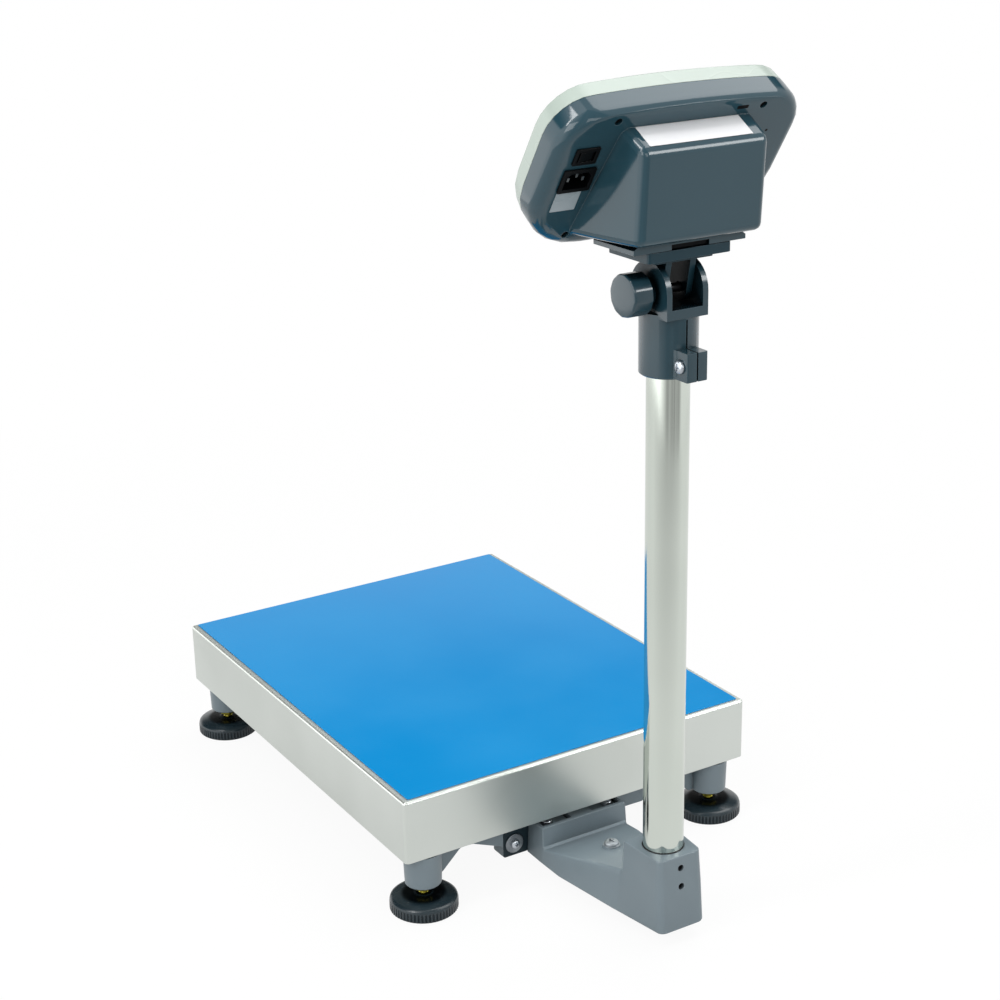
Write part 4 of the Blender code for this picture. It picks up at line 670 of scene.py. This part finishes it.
rim = new_part("vial_body", lathe(rim_profile), VIAL_RIM, "base", rim_place)
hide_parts("bubble_level")
liquid = [(0.0, -0.0009), (0.0086, -0.0009), (0.0086, -0.0004), (0.0060, 0.0002), (0.0, 0.0004)]
vial_top = Matrix.Translation((VIAL_CENTRE.x, VIAL_CENTRE.y, VIAL_HIGH.z - 0.0005))
new_part("vial_liquid", lathe(liquid), VIAL_GREEN, "base", vial_top)
ring_line = [(0.0034, 0.0), (0.0038, 0.0), (0.0038, 0.00045), (0.0034, 0.00045)]
vial_ring = lathe(ring_line + ring_line[:1])
new_part("vial_ring", vial_ring, VIAL_RIM, "base", vial_top)

# Levelling feet: black plastic discs on yellow zinc studs, each locked by a nut under its boss.
# The rim of a disc has flutes for the fingers, and its top is a shallow cone. The top's near-black
# tone and missing coat are painted shade from the boss and the tray above it.
FOOT_PLASTIC = moulded(
    "foot_plastic",
    tone=(0.013, 0.026, 0.034), cloud=(0.016, 0.030, 0.038), edge=(0.024, 0.040, 0.050),
    smooth=0.20, dull=0.32, grain_depth=0.00003, reach=0.05, ior=1.15, coat=0.24,
)
# Painted shade: the upward faces of the top keep a tenth of their tone and of their coat.
TOP_PAINTED_SHADE = 0.9
foot_tree = FOOT_PLASTIC.node_tree
foot_shader = foot_tree.nodes["Principled BSDF"].inputs
foot_slopes = {"Slope Start": 0.982, "Slope End": 0.998}
foot_shaded_top = add_node(foot_tree, "Group", foot_slopes, node_tree=UPWARD_FACES).outputs["Mask"]
foot_inputs = {0: foot_shaded_top, 1: -TOP_PAINTED_SHADE, 2: 1.0}
foot_shade_factor = add_node(foot_tree, "Math", foot_inputs, operation="MULTIPLY_ADD").outputs[0]
foot_colour = {0: foot_shader["Base Color"].links[0].from_socket, "Scale": foot_shade_factor}
foot_shaded_tone = add_node(foot_tree, "VectorMath", foot_colour, operation="SCALE")
foot_coat = {0: foot_shader["Coat Weight"].links[0].from_socket, 1: foot_shade_factor}
foot_shaded_coat = add_node(foot_tree, "Math", foot_coat, operation="MULTIPLY")
foot_tree.links.new(foot_shaded_tone.outputs["Vector"], foot_shader["Base Color"])
foot_tree.links.new(foot_shaded_coat.outputs[0], foot_shader["Coat Weight"])
YELLOW_ZINC = metal(
    "yellow_zinc",
    tone=(0.42, 0.36, 0.05), deep=(0.30, 0.30, 0.06),
    stretch=(20.0, 20.0, 20.0), grain_depth=0.00001, smooth=0.22, dull=0.42, patch_scale=90.0,
)
FOOT_FLUTES = 58
FOOT_RIM = 0.0335
FLUTE_DEPTH = 0.0010
FLUTE_FORM = (0.0, 0.0, 0.15, 0.9, 0.9, 0.15)
FOOT_LEVELS = [
    # height, radius, share of the flutes' depth
    (0.0, 0.0316, 0.0),
    (0.0006, 0.0326, 0.4),
    (0.0014, FOOT_RIM, 1.0),
    (0.0092, FOOT_RIM, 1.0),
    (0.0100, 0.0334, 0.5),
    (0.0108, 0.0332, 0.0),
    (0.0124, 0.0326, 0.0),
    (0.0136, 0.0312, 0.0),
    (0.0143, 0.0292, 0.0),
    (0.0150, 0.0262, 0.0),
    (0.0158, 0.0225, 0.0),
    (0.0162, 0.0190, 0.0),
    (0.0164, 0.0110, 0.0),
    (0.0169, 0.0085, 0.0),
    (0.0171, 0.0075, 0.0),
    (0.0171, 0.0056, 0.0),
]
THREAD_PITCH = 0.0015


def foot_disc(turn):
    """Fluted rim under a broad rounded shoulder, and a shallow cone that rises to the stud."""
    count = FOOT_FLUTES * len(FLUTE_FORM)
    rings = []
    for height, radius, fluting in FOOT_LEVELS:
        ring = []
        for step in range(count):
            reach = radius - FLUTE_FORM[step % len(FLUTE_FORM)] * FLUTE_DEPTH * fluting
            angle = 2 * math.pi * step / count + turn
            ring.append((reach * math.cos(angle), reach * math.sin(angle), height))
        rings.append(ring)
    return skin(rings)


def threaded_rod(radius, low, high, steps=20, per_pitch=5):
    """Rod with a helical thread cut in its outside, which runs out at both ends."""
    rows = int((high - low) / THREAD_PITCH * per_pitch)
    rings = []
    for row in range(rows + 1):
        z = low + (high - low) * row / rows
        fade = max(min(1.0, (z - low) / THREAD_PITCH, (high - z) / THREAD_PITCH + 0.2), 0.0)
        ring = []
        for step in range(steps):
            phase = (z / THREAD_PITCH - step / steps) % 1.0
            depth = 0.55 * THREAD_PITCH
            if row not in (0, rows):
                depth *= abs(2 * phase - 1) * fade
            angle = 2 * math.pi * step / steps
            ring.append(((radius - depth) * math.cos(angle), (radius - depth) * math.sin(angle), z))
        rings.append(ring)
    return skin(rings)


for index in range(1, 5):
    pad_low, pad_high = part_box(f"foot_pad_{index}")
    stud_low, stud_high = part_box(f"foot_stud_{index}")
    foot_middle = (pad_low + pad_high) / 2
    foot_place = Matrix.Translation((foot_middle.x, foot_middle.y, 0.0))
    foot = f"foot_{index}"
    disc = foot_disc(math.radians(17.0 * index))
    disc = new_part(f"foot_disc_{index}", disc, FOOT_PLASTIC, foot, foot_place, split=28.0)
    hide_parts(f"foot_pad_{index}")
    rod = threaded_rod((stud_high.x - stud_low.x) / 2, stud_low.z, stud_high.z)
    stud = new_part(f"foot_thread_{index}", rod, YELLOW_ZINC, foot, foot_place, split=60.0)
    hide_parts(f"foot_stud_{index}")
keep([f"foot_nut_{index}" for index in range(1, 5)], YELLOW_ZINC, bevel=0.0005)

# Column bracket: a grey painted casting bolted to the lower frame, with a socket for the column.
# A thin black seal closes the gap round the column, and grub screws lock it from behind. A pan head
# screw with a washer sits on its wedge, and a smaller one in the lug of the frame beside it.
BLACK_OXIDE = metal(
    "black_oxide",
    tone=(0.030, 0.032, 0.035), deep=(0.018, 0.019, 0.021),
    stretch=(14.0, 14.0, 14.0), grain_depth=0.00001, smooth=0.30, dull=0.48, patch_scale=60.0,
)
SEAL_RUBBER = moulded(
    "seal_rubber",
    tone=(0.008, 0.009, 0.010), cloud=(0.012, 0.013, 0.014), edge=(0.02, 0.02, 0.02),
    smooth=0.5, dull=0.7,
)
keep(["column_bracket"], CASTING_PAINT, split=28.0)
keep(["bracket_bolt_1", "bracket_bolt_2"], ZINC_PLATE, bevel=0.0002)
keep(["column_set_screw_1", "column_set_screw_2"], BLACK_OXIDE, bevel=0.0002)
COLUMN_LOW, COLUMN_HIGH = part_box("column_tube")
COLUMN_CENTRE = (COLUMN_LOW + COLUMN_HIGH) / 2
COLUMN_RADIUS = (COLUMN_HIGH.x - COLUMN_LOW.x) / 2
SOCKET_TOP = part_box("column_bracket")[1].z
seal_form = [(0.00005, -0.0008), (0.0009, -0.0008), (0.0009, 0.0003), (0.0005, 0.0007)]
seal_form += [(0.00005, 0.0004), (0.00005, -0.0008)]
seal_ring = lathe([(COLUMN_RADIUS + gap, height) for gap, height in seal_form], 96)
seal_place = Matrix.Translation((COLUMN_CENTRE.x, COLUMN_CENTRE.y, SOCKET_TOP))
seal = new_part("socket_seal", seal_ring, SEAL_RUBBER, "base", seal_place, split=60.0)

# shares of a screw head's radius and height
SCREW_DOME = ((1.0, 0.35), (0.93, 0.62), (0.78, 0.84), (0.5, 0.97), (0.0, 1.0))


def loose_object(name, bm):
    """Object for a while, to be cut or to cut with."""
    mesh = bpy.data.meshes.new(name)
    bm.to_mesh(mesh)
    bm.free()
    tool = bpy.data.objects.new(name, mesh)
    bpy.context.scene.collection.objects.link(tool)
    return tool


def baked(part, tools):
    """The part's mesh with its modifiers applied, as a bmesh; the tools are then removed."""
    bpy.context.view_layer.update()
    shaped = part.evaluated_get(bpy.context.evaluated_depsgraph_get())
    bm = bmesh.new()
    bm.from_mesh(shaped.to_mesh())
    shaped.to_mesh_clear()
    for tool in tools:
        bpy.data.objects.remove(tool, do_unlink=True)
    return bm


def recessed_screw(head_radius, head_height):
    """Domed screw head with a cross recess, standing on its seat along +Z."""
    profile = [(0.0, 0.0), (head_radius, 0.0)]
    profile += [(head_radius * across, head_height * up) for across, up in SCREW_DOME]
    head = lathe(profile, 40)
    bmesh.ops.recalc_face_normals(head, faces=head.faces)
    blank = loose_object("screw_blank", head)
    tools = [blank]
    arm = head_radius * 0.52
    width = head_radius * 0.16
    corners = ((-1, -1), (1, -1), (1, 1), (-1, 1))
    for half_x, half_y in ((arm, width), (width, arm)):
        rings = []
        for taper, level in ((0.5, 0.45), (1.0, 1.3)):
            rings.append([(x * half_x * taper, y * half_y, head_height * level) for x, y in corners])
        cutter = skin(rings)
        bmesh.ops.recalc_face_normals(cutter, faces=cutter.faces)
        tools.append(loose_object("screw_cutter", cutter))
        cutting = blank.modifiers.new("recess", "BOOLEAN")
        cutting.operation = "DIFFERENCE"
        cutting.object = tools[-1]
    return baked(blank, tools)


def dressed_screw(name, node, axis, head_radius, head_height, shank_radius, material):
    """Visible screw in place of a CAD screw: its head at the end that axis points to."""
    low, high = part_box(node)
    span = max(high - low)
    direction = Vector(axis)
    seat = (low + high) / 2 + direction * (span / 2 - head_height)
    turn = direction.to_track_quat("Z", "Y").to_matrix().to_4x4()
    screw = recessed_screw(head_radius, head_height)
    shank_ends = (head_height - span, 0.0002)
    shank = skin([[(x, y, z) for x, y in circle(shank_radius, 16)] for z in shank_ends])
    shank_mesh = bpy.data.meshes.new("shank")
    shank.to_mesh(shank_mesh)
    shank.free()
    screw.from_mesh(shank_mesh)
    bodies = frame["record"]["behaviour"]["bodies"].items()
    body = next(body for body, members in bodies if node in members)
    piece = new_part(name, screw, material, body, Matrix.Translation(seat) @ turn, split=30.0)
    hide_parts(node)


SATIN_ZINC = metal(
    "satin_zinc",
    tone=(0.40, 0.43, 0.45), deep=(0.32, 0.35, 0.37),
    stretch=(14.0, 14.0, 14.0), grain_depth=0.00002, smooth=0.46, dull=0.60, patch_scale=60.0,
)
dressed_screw("wedge_screw", "bracket_screw", (0, 0, 1), 0.0072, 0.0035, 0.0024, SATIN_ZINC)
WEDGE_LOW, WEDGE_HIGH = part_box("bracket_screw")
WEDGE_MIDDLE = (WEDGE_LOW + WEDGE_HIGH) / 2
WEDGE_FACE = WEDGE_HIGH.z - 0.00388
washer_form = [(0.0030, 0.0), (0.0083, 0.0), (0.0083, 0.0002), (0.0081, 0.00026), (0.0030, 0.00026)]
washer = lathe(washer_form + washer_form[:1])
washer_place = Matrix.Translation((WEDGE_MIDDLE.x, WEDGE_MIDDLE.y, WEDGE_FACE))
new_part("wedge_washer", washer, SATIN_ZINC, "base", washer_place)
dressed_screw("lug_screw", "frame_screw", (0, 1, 0), 0.0048, 0.0033, 0.0024, ZINC_PLATE)

# Column: a polished stainless tube that stands in the bracket and carries the clamp collar.
# It mirrors the bright room, with a dark line along each side.
POLISHED_TUBE = metal(
    "polished_tube",
    tone=(0.66, 0.705, 0.65), deep=(0.61, 0.655, 0.60),
    stretch=(30.0, 30.0, 0.8), grain_depth=0.000004, smooth=0.06, dull=0.12, patch_scale=7.0,
)
TUBE_WALL = 0.0015
TUBE_CHAMFER = 0.0004
TUBE_HEIGHT = COLUMN_HIGH.z - COLUMN_LOW.z
tube_profile = [
    (COLUMN_RADIUS - TUBE_WALL, 0.0),
    (COLUMN_RADIUS - TUBE_CHAMFER, 0.0),
    (COLUMN_RADIUS, TUBE_CHAMFER),
    (COLUMN_RADIUS, TUBE_HEIGHT - TUBE_CHAMFER),
    (COLUMN_RADIUS - TUBE_CHAMFER, TUBE_HEIGHT),
    (COLUMN_RADIUS - TUBE_WALL, TUBE_HEIGHT),
]
tube_place = Matrix.Translation((COLUMN_CENTRE.x, COLUMN_CENTRE.y, COLUMN_LOW.z))
tube_form = lathe(tube_profile + tube_profile[:1], 96)
tube = new_part("column_polished", tube_form, POLISHED_TUBE, "base", tube_place)
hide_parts("column_tube")

# Clamp collar: a dark plastic moulding that slides on the column, with a slit and a screw behind.
# Its top is a fork, and the indicator's bracket tilts between the two cheeks.
# Its tone and coat fall off far into recesses, such as the fork, as painted shade.
BRACKET_PLASTIC = moulded(
    "bracket_plastic",
    tone=(0.013, 0.043, 0.060), cloud=(0.018, 0.052, 0.070), edge=(0.045, 0.09, 0.115),
    smooth=0.14, dull=0.24, grain_depth=0.00002, grain_scale=900.0, cloud_scale=12.0,
    reach=0.06, depth=0.36, ior=1.12, coat=0.18,
)
keep(["column_collar"], BRACKET_PLASTIC)
dressed_screw("clamp_screw", "collar_screw", (1, 0, 0), 0.0060, 0.0035, 0.0024, ZINC_PLATE)
keep(["collar_nut", "tilt_nut"], ZINC_PLATE, bevel=0.0003)

# Tilt knob: a dark hand knob with flats round its rim and a hub behind, on a steel stud.
# It clamps the fork on its stud, so it turns on the tilt axis.
KNOB_LOW, KNOB_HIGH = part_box("tilt_knob")
PIVOT = Vector((0.0, (KNOB_LOW.y + KNOB_HIGH.y) / 2, (KNOB_LOW.z + KNOB_HIGH.z) / 2))
KNOB_RADIUS = (KNOB_HIGH.z - KNOB_LOW.z) / 2
KNOB_FACE = KNOB_HIGH.x
KNOB_BACK = KNOB_FACE - 0.0195
KNOB_FLATS = 12
KNOB_TURN = math.radians(8)
KNOB_LEVELS = [
    # place along the axis, radius, how flat the flats are
    (KNOB_BACK - 0.0070, 0.0114, 0.0),
    (KNOB_BACK - 0.0066, 0.0118, 0.0),
    (KNOB_BACK - 0.0003, 0.0124, 0.0),
    (KNOB_BACK, 0.0128, 0.0),
    (KNOB_BACK, KNOB_RADIUS - 0.0014, 0.6),
    (KNOB_BACK + 0.0003, KNOB_RADIUS - 0.0004, 1.0),
    (KNOB_BACK + 0.0010, KNOB_RADIUS, 1.0),
    (KNOB_FACE - 0.0024, KNOB_RADIUS, 1.0),
    (KNOB_FACE - 0.0013, KNOB_RADIUS - 0.0003, 1.0),
    (KNOB_FACE - 0.0006, KNOB_RADIUS - 0.0010, 0.8),
    (KNOB_FACE - 0.0003, KNOB_RADIUS - 0.0020, 0.5),
    (KNOB_FACE - 0.0001, KNOB_RADIUS * 0.6, 0.0),
    (KNOB_FACE, KNOB_RADIUS * 0.3, 0.0),
    (KNOB_FACE, 0.0010, 0.0),
]


def knob_solid():
    """Flats with rounded corners, a hub behind, and a slightly domed front face."""
    half_flat = math.pi / KNOB_FLATS
    offsets = [share * half_flat for share in (-1.0, -0.9, -0.78, -0.6, 0.0, 0.6, 0.78, 0.9)]
    rings = []
    for x, radius, flatness in KNOB_LEVELS:
        ring = []
        for facet in range(KNOB_FLATS):
            for offset in offsets:
                cut = min(math.cos(half_flat * 0.8) / math.cos(offset), 0.997)
                reach = radius * (1 - flatness * (1 - cut))
                angle = 2 * half_flat * facet + offset + KNOB_TURN
                ring.append((x, reach * math.cos(angle), reach * math.sin(angle)))
        rings.append(ring)
    return skin(rings)


pivot_place = Matrix.Translation(PIVOT)
knob = new_part("tilt_handwheel", knob_solid(), BRACKET_PLASTIC, "knob", pivot_place, split=60.0)
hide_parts("tilt_knob")
STUD_LEVELS = (KNOB_LOW.x, KNOB_LOW.x + 0.0006, KNOB_HIGH.x - 0.025)
stud_form = skin([[(x, y, z) for y, z in circle(0.0040, 32)] for x in STUD_LEVELS])
tilt_stud = new_part("tilt_stud", stud_form, BLACK_OXIDE, "knob", pivot_place, bevel=0.0003)

# Tilt bracket and slide plate: two lugs in the fork carry a plate that the indicator slides on to.
# Both are dark plastic. The bracket has a duller coat than the collar, and a darker tone that is
# painted shade for the inside of the fork. A latch shows in the slot behind.
# Painted shade: a darker copy of the collar's plastic, for the fork's inside that lies in shade.
TILT_PLASTIC_SHADED = moulded(
    "tilt_plastic_shaded",
    tone=(0.010, 0.036, 0.052), cloud=(0.014, 0.044, 0.060), edge=(0.040, 0.085, 0.110),
    smooth=0.20, dull=0.32, grain_depth=0.00002, grain_scale=900.0, cloud_scale=12.0,
    reach=0.07, depth=0.36, ior=1.12, coat=0.28,
)
TILT_PLASTIC_SHADED.node_tree.nodes["Principled BSDF"].inputs["Coat IOR"].default_value = 1.3
LATCH_BLACK = moulded(
    "latch_black",
    tone=(0.001, 0.002, 0.003), cloud=(0.002, 0.003, 0.004), edge=(0.006, 0.009, 0.011),
    smooth=0.5, dull=0.65, ior=1.2,
)
keep(["tilt_bracket"], TILT_PLASTIC_SHADED, bevel=0.0004)
keep(["slide_plate"], BRACKET_PLASTIC, bevel=0.0004)
SLIDE_LOW, SLIDE_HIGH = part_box("slide_plate")
LATCH_HALF = 0.0184
latch_low = (-LATCH_HALF, SLIDE_LOW.z + 0.0002)
latch_outline = outline_box(latch_low, (LATCH_HALF, SLIDE_LOW.z + 0.0042), 0.0008, 3)
latch_ends = (SLIDE_HIGH.y - 0.0076, SLIDE_HIGH.y - 0.0024)
latch_tab = skin([[(x, y, z) for x, z in latch_outline] for y in latch_ends])
latch = new_part("slide_latch", latch_tab, LATCH_BLACK, "indicator", bevel=0.0003)

# Rear shell of the indicator: glossy slate plastic with the battery housing moulded on.
# The case screws sit deep in four holes, near black as painted shade of the holes. Two small
# openings are filled with near-black plates, painted shade of their depths, and two bare labels are
# stuck on, one on the slope over the housing and one under the inlet.
SLATE_PLASTIC = moulded(
    "slate_plastic",
    tone=(0.018, 0.058, 0.080), cloud=(0.022, 0.065, 0.088), edge=(0.06, 0.12, 0.15),
    smooth=0.06, dull=0.11, grain_depth=0.000004, grain_scale=900.0, cloud_scale=6.0,
)
LABEL_PAPER = moulded(
    "label_paper",
    tone=(0.80, 0.81, 0.83), cloud=(0.84, 0.85, 0.86), edge=(0.88, 0.88, 0.89),
    smooth=0.32, dull=0.42, grain_depth=0.000004, grain_scale=700.0, cloud_scale=20.0,
)
LABEL_SILVER = moulded(
    "label_silver",
    tone=(0.34, 0.40, 0.43), cloud=(0.40, 0.46, 0.49), edge=(0.55, 0.60, 0.62),
    smooth=0.24, dull=0.34, grain_depth=0.000004, grain_scale=700.0, cloud_scale=20.0,
)
# Painted shade: near black, for the depths of the case holes and of two small openings.
HOLE_SHADE_BLACK = moulded(
    "hole_shade_black",
    tone=(0.001, 0.001, 0.0015), cloud=(0.002, 0.002, 0.003), edge=(0.004, 0.004, 0.005),
    smooth=0.5, dull=0.7, ior=1.2,
)
keep(["rear_shell"], SLATE_PLASTIC, split=30.0)
PANEL_TILT = math.radians(33.5)
PANEL_ORIGIN = PIVOT + Vector((0.0, -0.0372, 0.0485))
PANEL_PLACE = Matrix.Translation(PANEL_ORIGIN) @ Matrix.Rotation(math.pi / 2 - PANEL_TILT, 4, "X")
LABEL_THICKNESS = 0.00015
SLOPE_BOTTOM = Vector((0.0, 0.1144, -0.0293))
SLOPE_TOP = Vector((0.0, 0.1129, 0.0040))
ACROSS = Vector((1.0, 0.0, 0.0))
LABEL_MIDDLE = Vector((0.0026, 0.01695, -0.00005))


def on_indicator(across, up, forward):
    """Place in the indicator's own axes: across and up its back panel, and forward from it."""
    return PANEL_PLACE @ Matrix.Translation((across, up, forward))


def rounded_plate(half_x, half_y, radius, low, high):
    """Flat plate with round corners between two levels."""
    outline = outline_box((-half_x, -half_y), (half_x, half_y), radius, 5)
    return skin([[(x, y, z) for x, y in outline] for z in (low, high)])


slope_run = (SLOPE_TOP - SLOPE_BOTTOM).normalized()
slope_in = ACROSS.cross(slope_run)
slope_axes = Matrix((ACROSS, slope_run, slope_in)).transposed().to_4x4()
slope_place = PANEL_PLACE @ Matrix.Translation(SLOPE_BOTTOM) @ slope_axes
label_place = slope_place @ Matrix.Translation(LABEL_MIDDLE)
label_sheet = rounded_plate(0.0513, 0.01205, 0.0008, -LABEL_THICKNESS, 0.0)
rating_label = new_part("rating_label", label_sheet, LABEL_PAPER, "indicator", label_place)
small_place = on_indicator(0.0937, 0.0402, -0.00018)
small_sheet = rounded_plate(0.0120, 0.0102, 0.0008, 0.0, LABEL_THICKNESS)
panel_label = new_part("panel_label", small_sheet, LABEL_SILVER, "indicator", small_place)
slot_place = on_indicator(-0.0507, 0.1208, -0.00006)
slot_shade_plate = rounded_plate(0.0058, 0.0018, 0.0010, 0.0, 0.0005)
hanger_slot_shade = new_part("hanger_slot_shade", slot_shade_plate, HOLE_SHADE_BLACK, "indicator", slot_place)
vent_place = on_indicator(-0.0886, 0.0915, -0.00006)
vent_form = lathe([(0.0, 0.0), (0.0013, 0.0), (0.0013, 0.0005), (0.0, 0.0005)], 24)
vent_hole_shade = new_part("vent_hole_shade", vent_form, HOLE_SHADE_BLACK, "indicator", vent_place)
CASE_HOLES = ((0.0721, 0.1206), (-0.0721, 0.1206), (0.080, 0.001), (-0.080, 0.001))
for index, (across, height) in enumerate(CASE_HOLES, start=1):
    screw_place = on_indicator(across, height, 0.0032) @ Matrix.Rotation(math.pi, 4, "X")
    head = recessed_screw(0.0030, 0.0016)
    case_screw = new_part(
        f"case_screw_{index}", head, HOLE_SHADE_BLACK, "indicator", screw_place, split=30.0
    )

# Front shell: pale plastic with the display window and the key film facing the user.
# It meets the rear shell in a fine seam all round.
PALE_PLASTIC = moulded(
    "pale_plastic",
    tone=(0.475, 0.56, 0.50), cloud=(0.495, 0.575, 0.52), edge=(0.485, 0.57, 0.51),
    smooth=0.20, dull=0.32, grain_depth=0.00001, grain_scale=900.0, cloud_scale=6.0,
)
WINDOW_CLEAR = moulded(
    "window_tint",
    tone=(0.62, 0.68, 0.64), cloud=(0.66, 0.72, 0.68), edge=(0.75, 0.8, 0.76),
    smooth=0.03, dull=0.06, grain_depth=0.0, reach=0.0002,
)
WINDOW_CLEAR.node_tree.nodes["Principled BSDF"].inputs["Transmission Weight"].default_value = 0.9
LCD_GREY = moulded(
    "lcd_grey",
    tone=(0.30, 0.36, 0.28), cloud=(0.34, 0.40, 0.31), edge=(0.40, 0.46, 0.36),
    smooth=0.20, dull=0.30, grain_depth=0.0, reach=0.0002,
)
KEY_FILM = moulded(
    "key_film",
    tone=(0.05, 0.13, 0.32), cloud=(0.055, 0.14, 0.34), edge=(0.12, 0.24, 0.45),
    smooth=0.34, dull=0.45,
)
KEY_PALE = moulded(
    "key_pale",
    tone=(0.62, 0.66, 0.68), cloud=(0.66, 0.70, 0.72), edge=(0.75, 0.78, 0.80),
    smooth=0.32, dull=0.42,
)
keep(["front_shell"], PALE_PLASTIC, split=30.0)
keep(["display_window"], WINDOW_CLEAR, bevel=0.0002)
keep(["display_module"], LCD_GREY, bevel=0.0002)
keep(["keypad"], KEY_FILM, bevel=0.0002)
KEYS = 6
KEY_PITCH = 0.03016
KEY_ROW = 0.028
FILM_LEVEL = 0.03985
for index in range(KEYS):
    key_place = on_indicator((index - (KEYS - 1) / 2) * KEY_PITCH, KEY_ROW, FILM_LEVEL)
    key_form = rounded_plate(0.0092, 0.0062, 0.0018, 0.0, 0.00015)
    key_cap = new_part(f"key_cap_{index + 1}", key_form, KEY_PALE, "indicator", key_place)

# Fittings of the indicator: a rocker switch and a mains inlet behind, the board, battery and
# transformer inside. The switch and inlet are dull black plastic, and the inlet has three blades.
BLACK_PLASTIC = moulded(
    "black_plastic",
    tone=(0.0012, 0.0014, 0.0018), cloud=(0.002, 0.0023, 0.003), edge=(0.004, 0.0045, 0.0055),
    smooth=0.34, dull=0.48, reach=0.006, ior=1.22,
)
PIN_METAL = metal(
    "pin_metal",
    tone=(0.34, 0.35, 0.35), deep=(0.26, 0.27, 0.27),
    stretch=(40.0, 40.0, 6.0), grain_depth=0.000006, smooth=0.22, dull=0.36, patch_scale=40.0,
)
BOARD_GREEN = moulded(
    "board_green",
    tone=(0.01, 0.12, 0.035), cloud=(0.014, 0.15, 0.045), edge=(0.05, 0.22, 0.08),
    smooth=0.25, dull=0.38, grain_depth=0.00002, grain_scale=300.0, cloud_scale=60.0,
)
BATTERY_CASE = moulded(
    "battery_case",
    tone=(0.10, 0.11, 0.12), cloud=(0.12, 0.13, 0.14), edge=(0.18, 0.19, 0.20),
    smooth=0.42, dull=0.55,
)
keep(["switch_housing", "switch_rocker", "mains_inlet"], BLACK_PLASTIC, bevel=0.0002)
keep(["main_board"], BOARD_GREEN, bevel=0.0001)
keep(["battery"], BATTERY_CASE, bevel=0.0006)
keep(["transformer"], DULL_ZINC, bevel=0.0004)
INLET_PINS = ((0.0915, 0.0670), (0.0845, 0.0630), (0.0985, 0.0630))
for index, (across, height) in enumerate(INLET_PINS, start=1):
    blade_form = rounded_plate(0.00105, 0.00205, 0.0004, 0.0009, 0.0150)
    blade_place = on_indicator(across, height, 0.0)
    blade = new_part(
        f"inlet_pin_{index}", blade_form, PIN_METAL, "indicator", blade_place, bevel=0.000036
    )
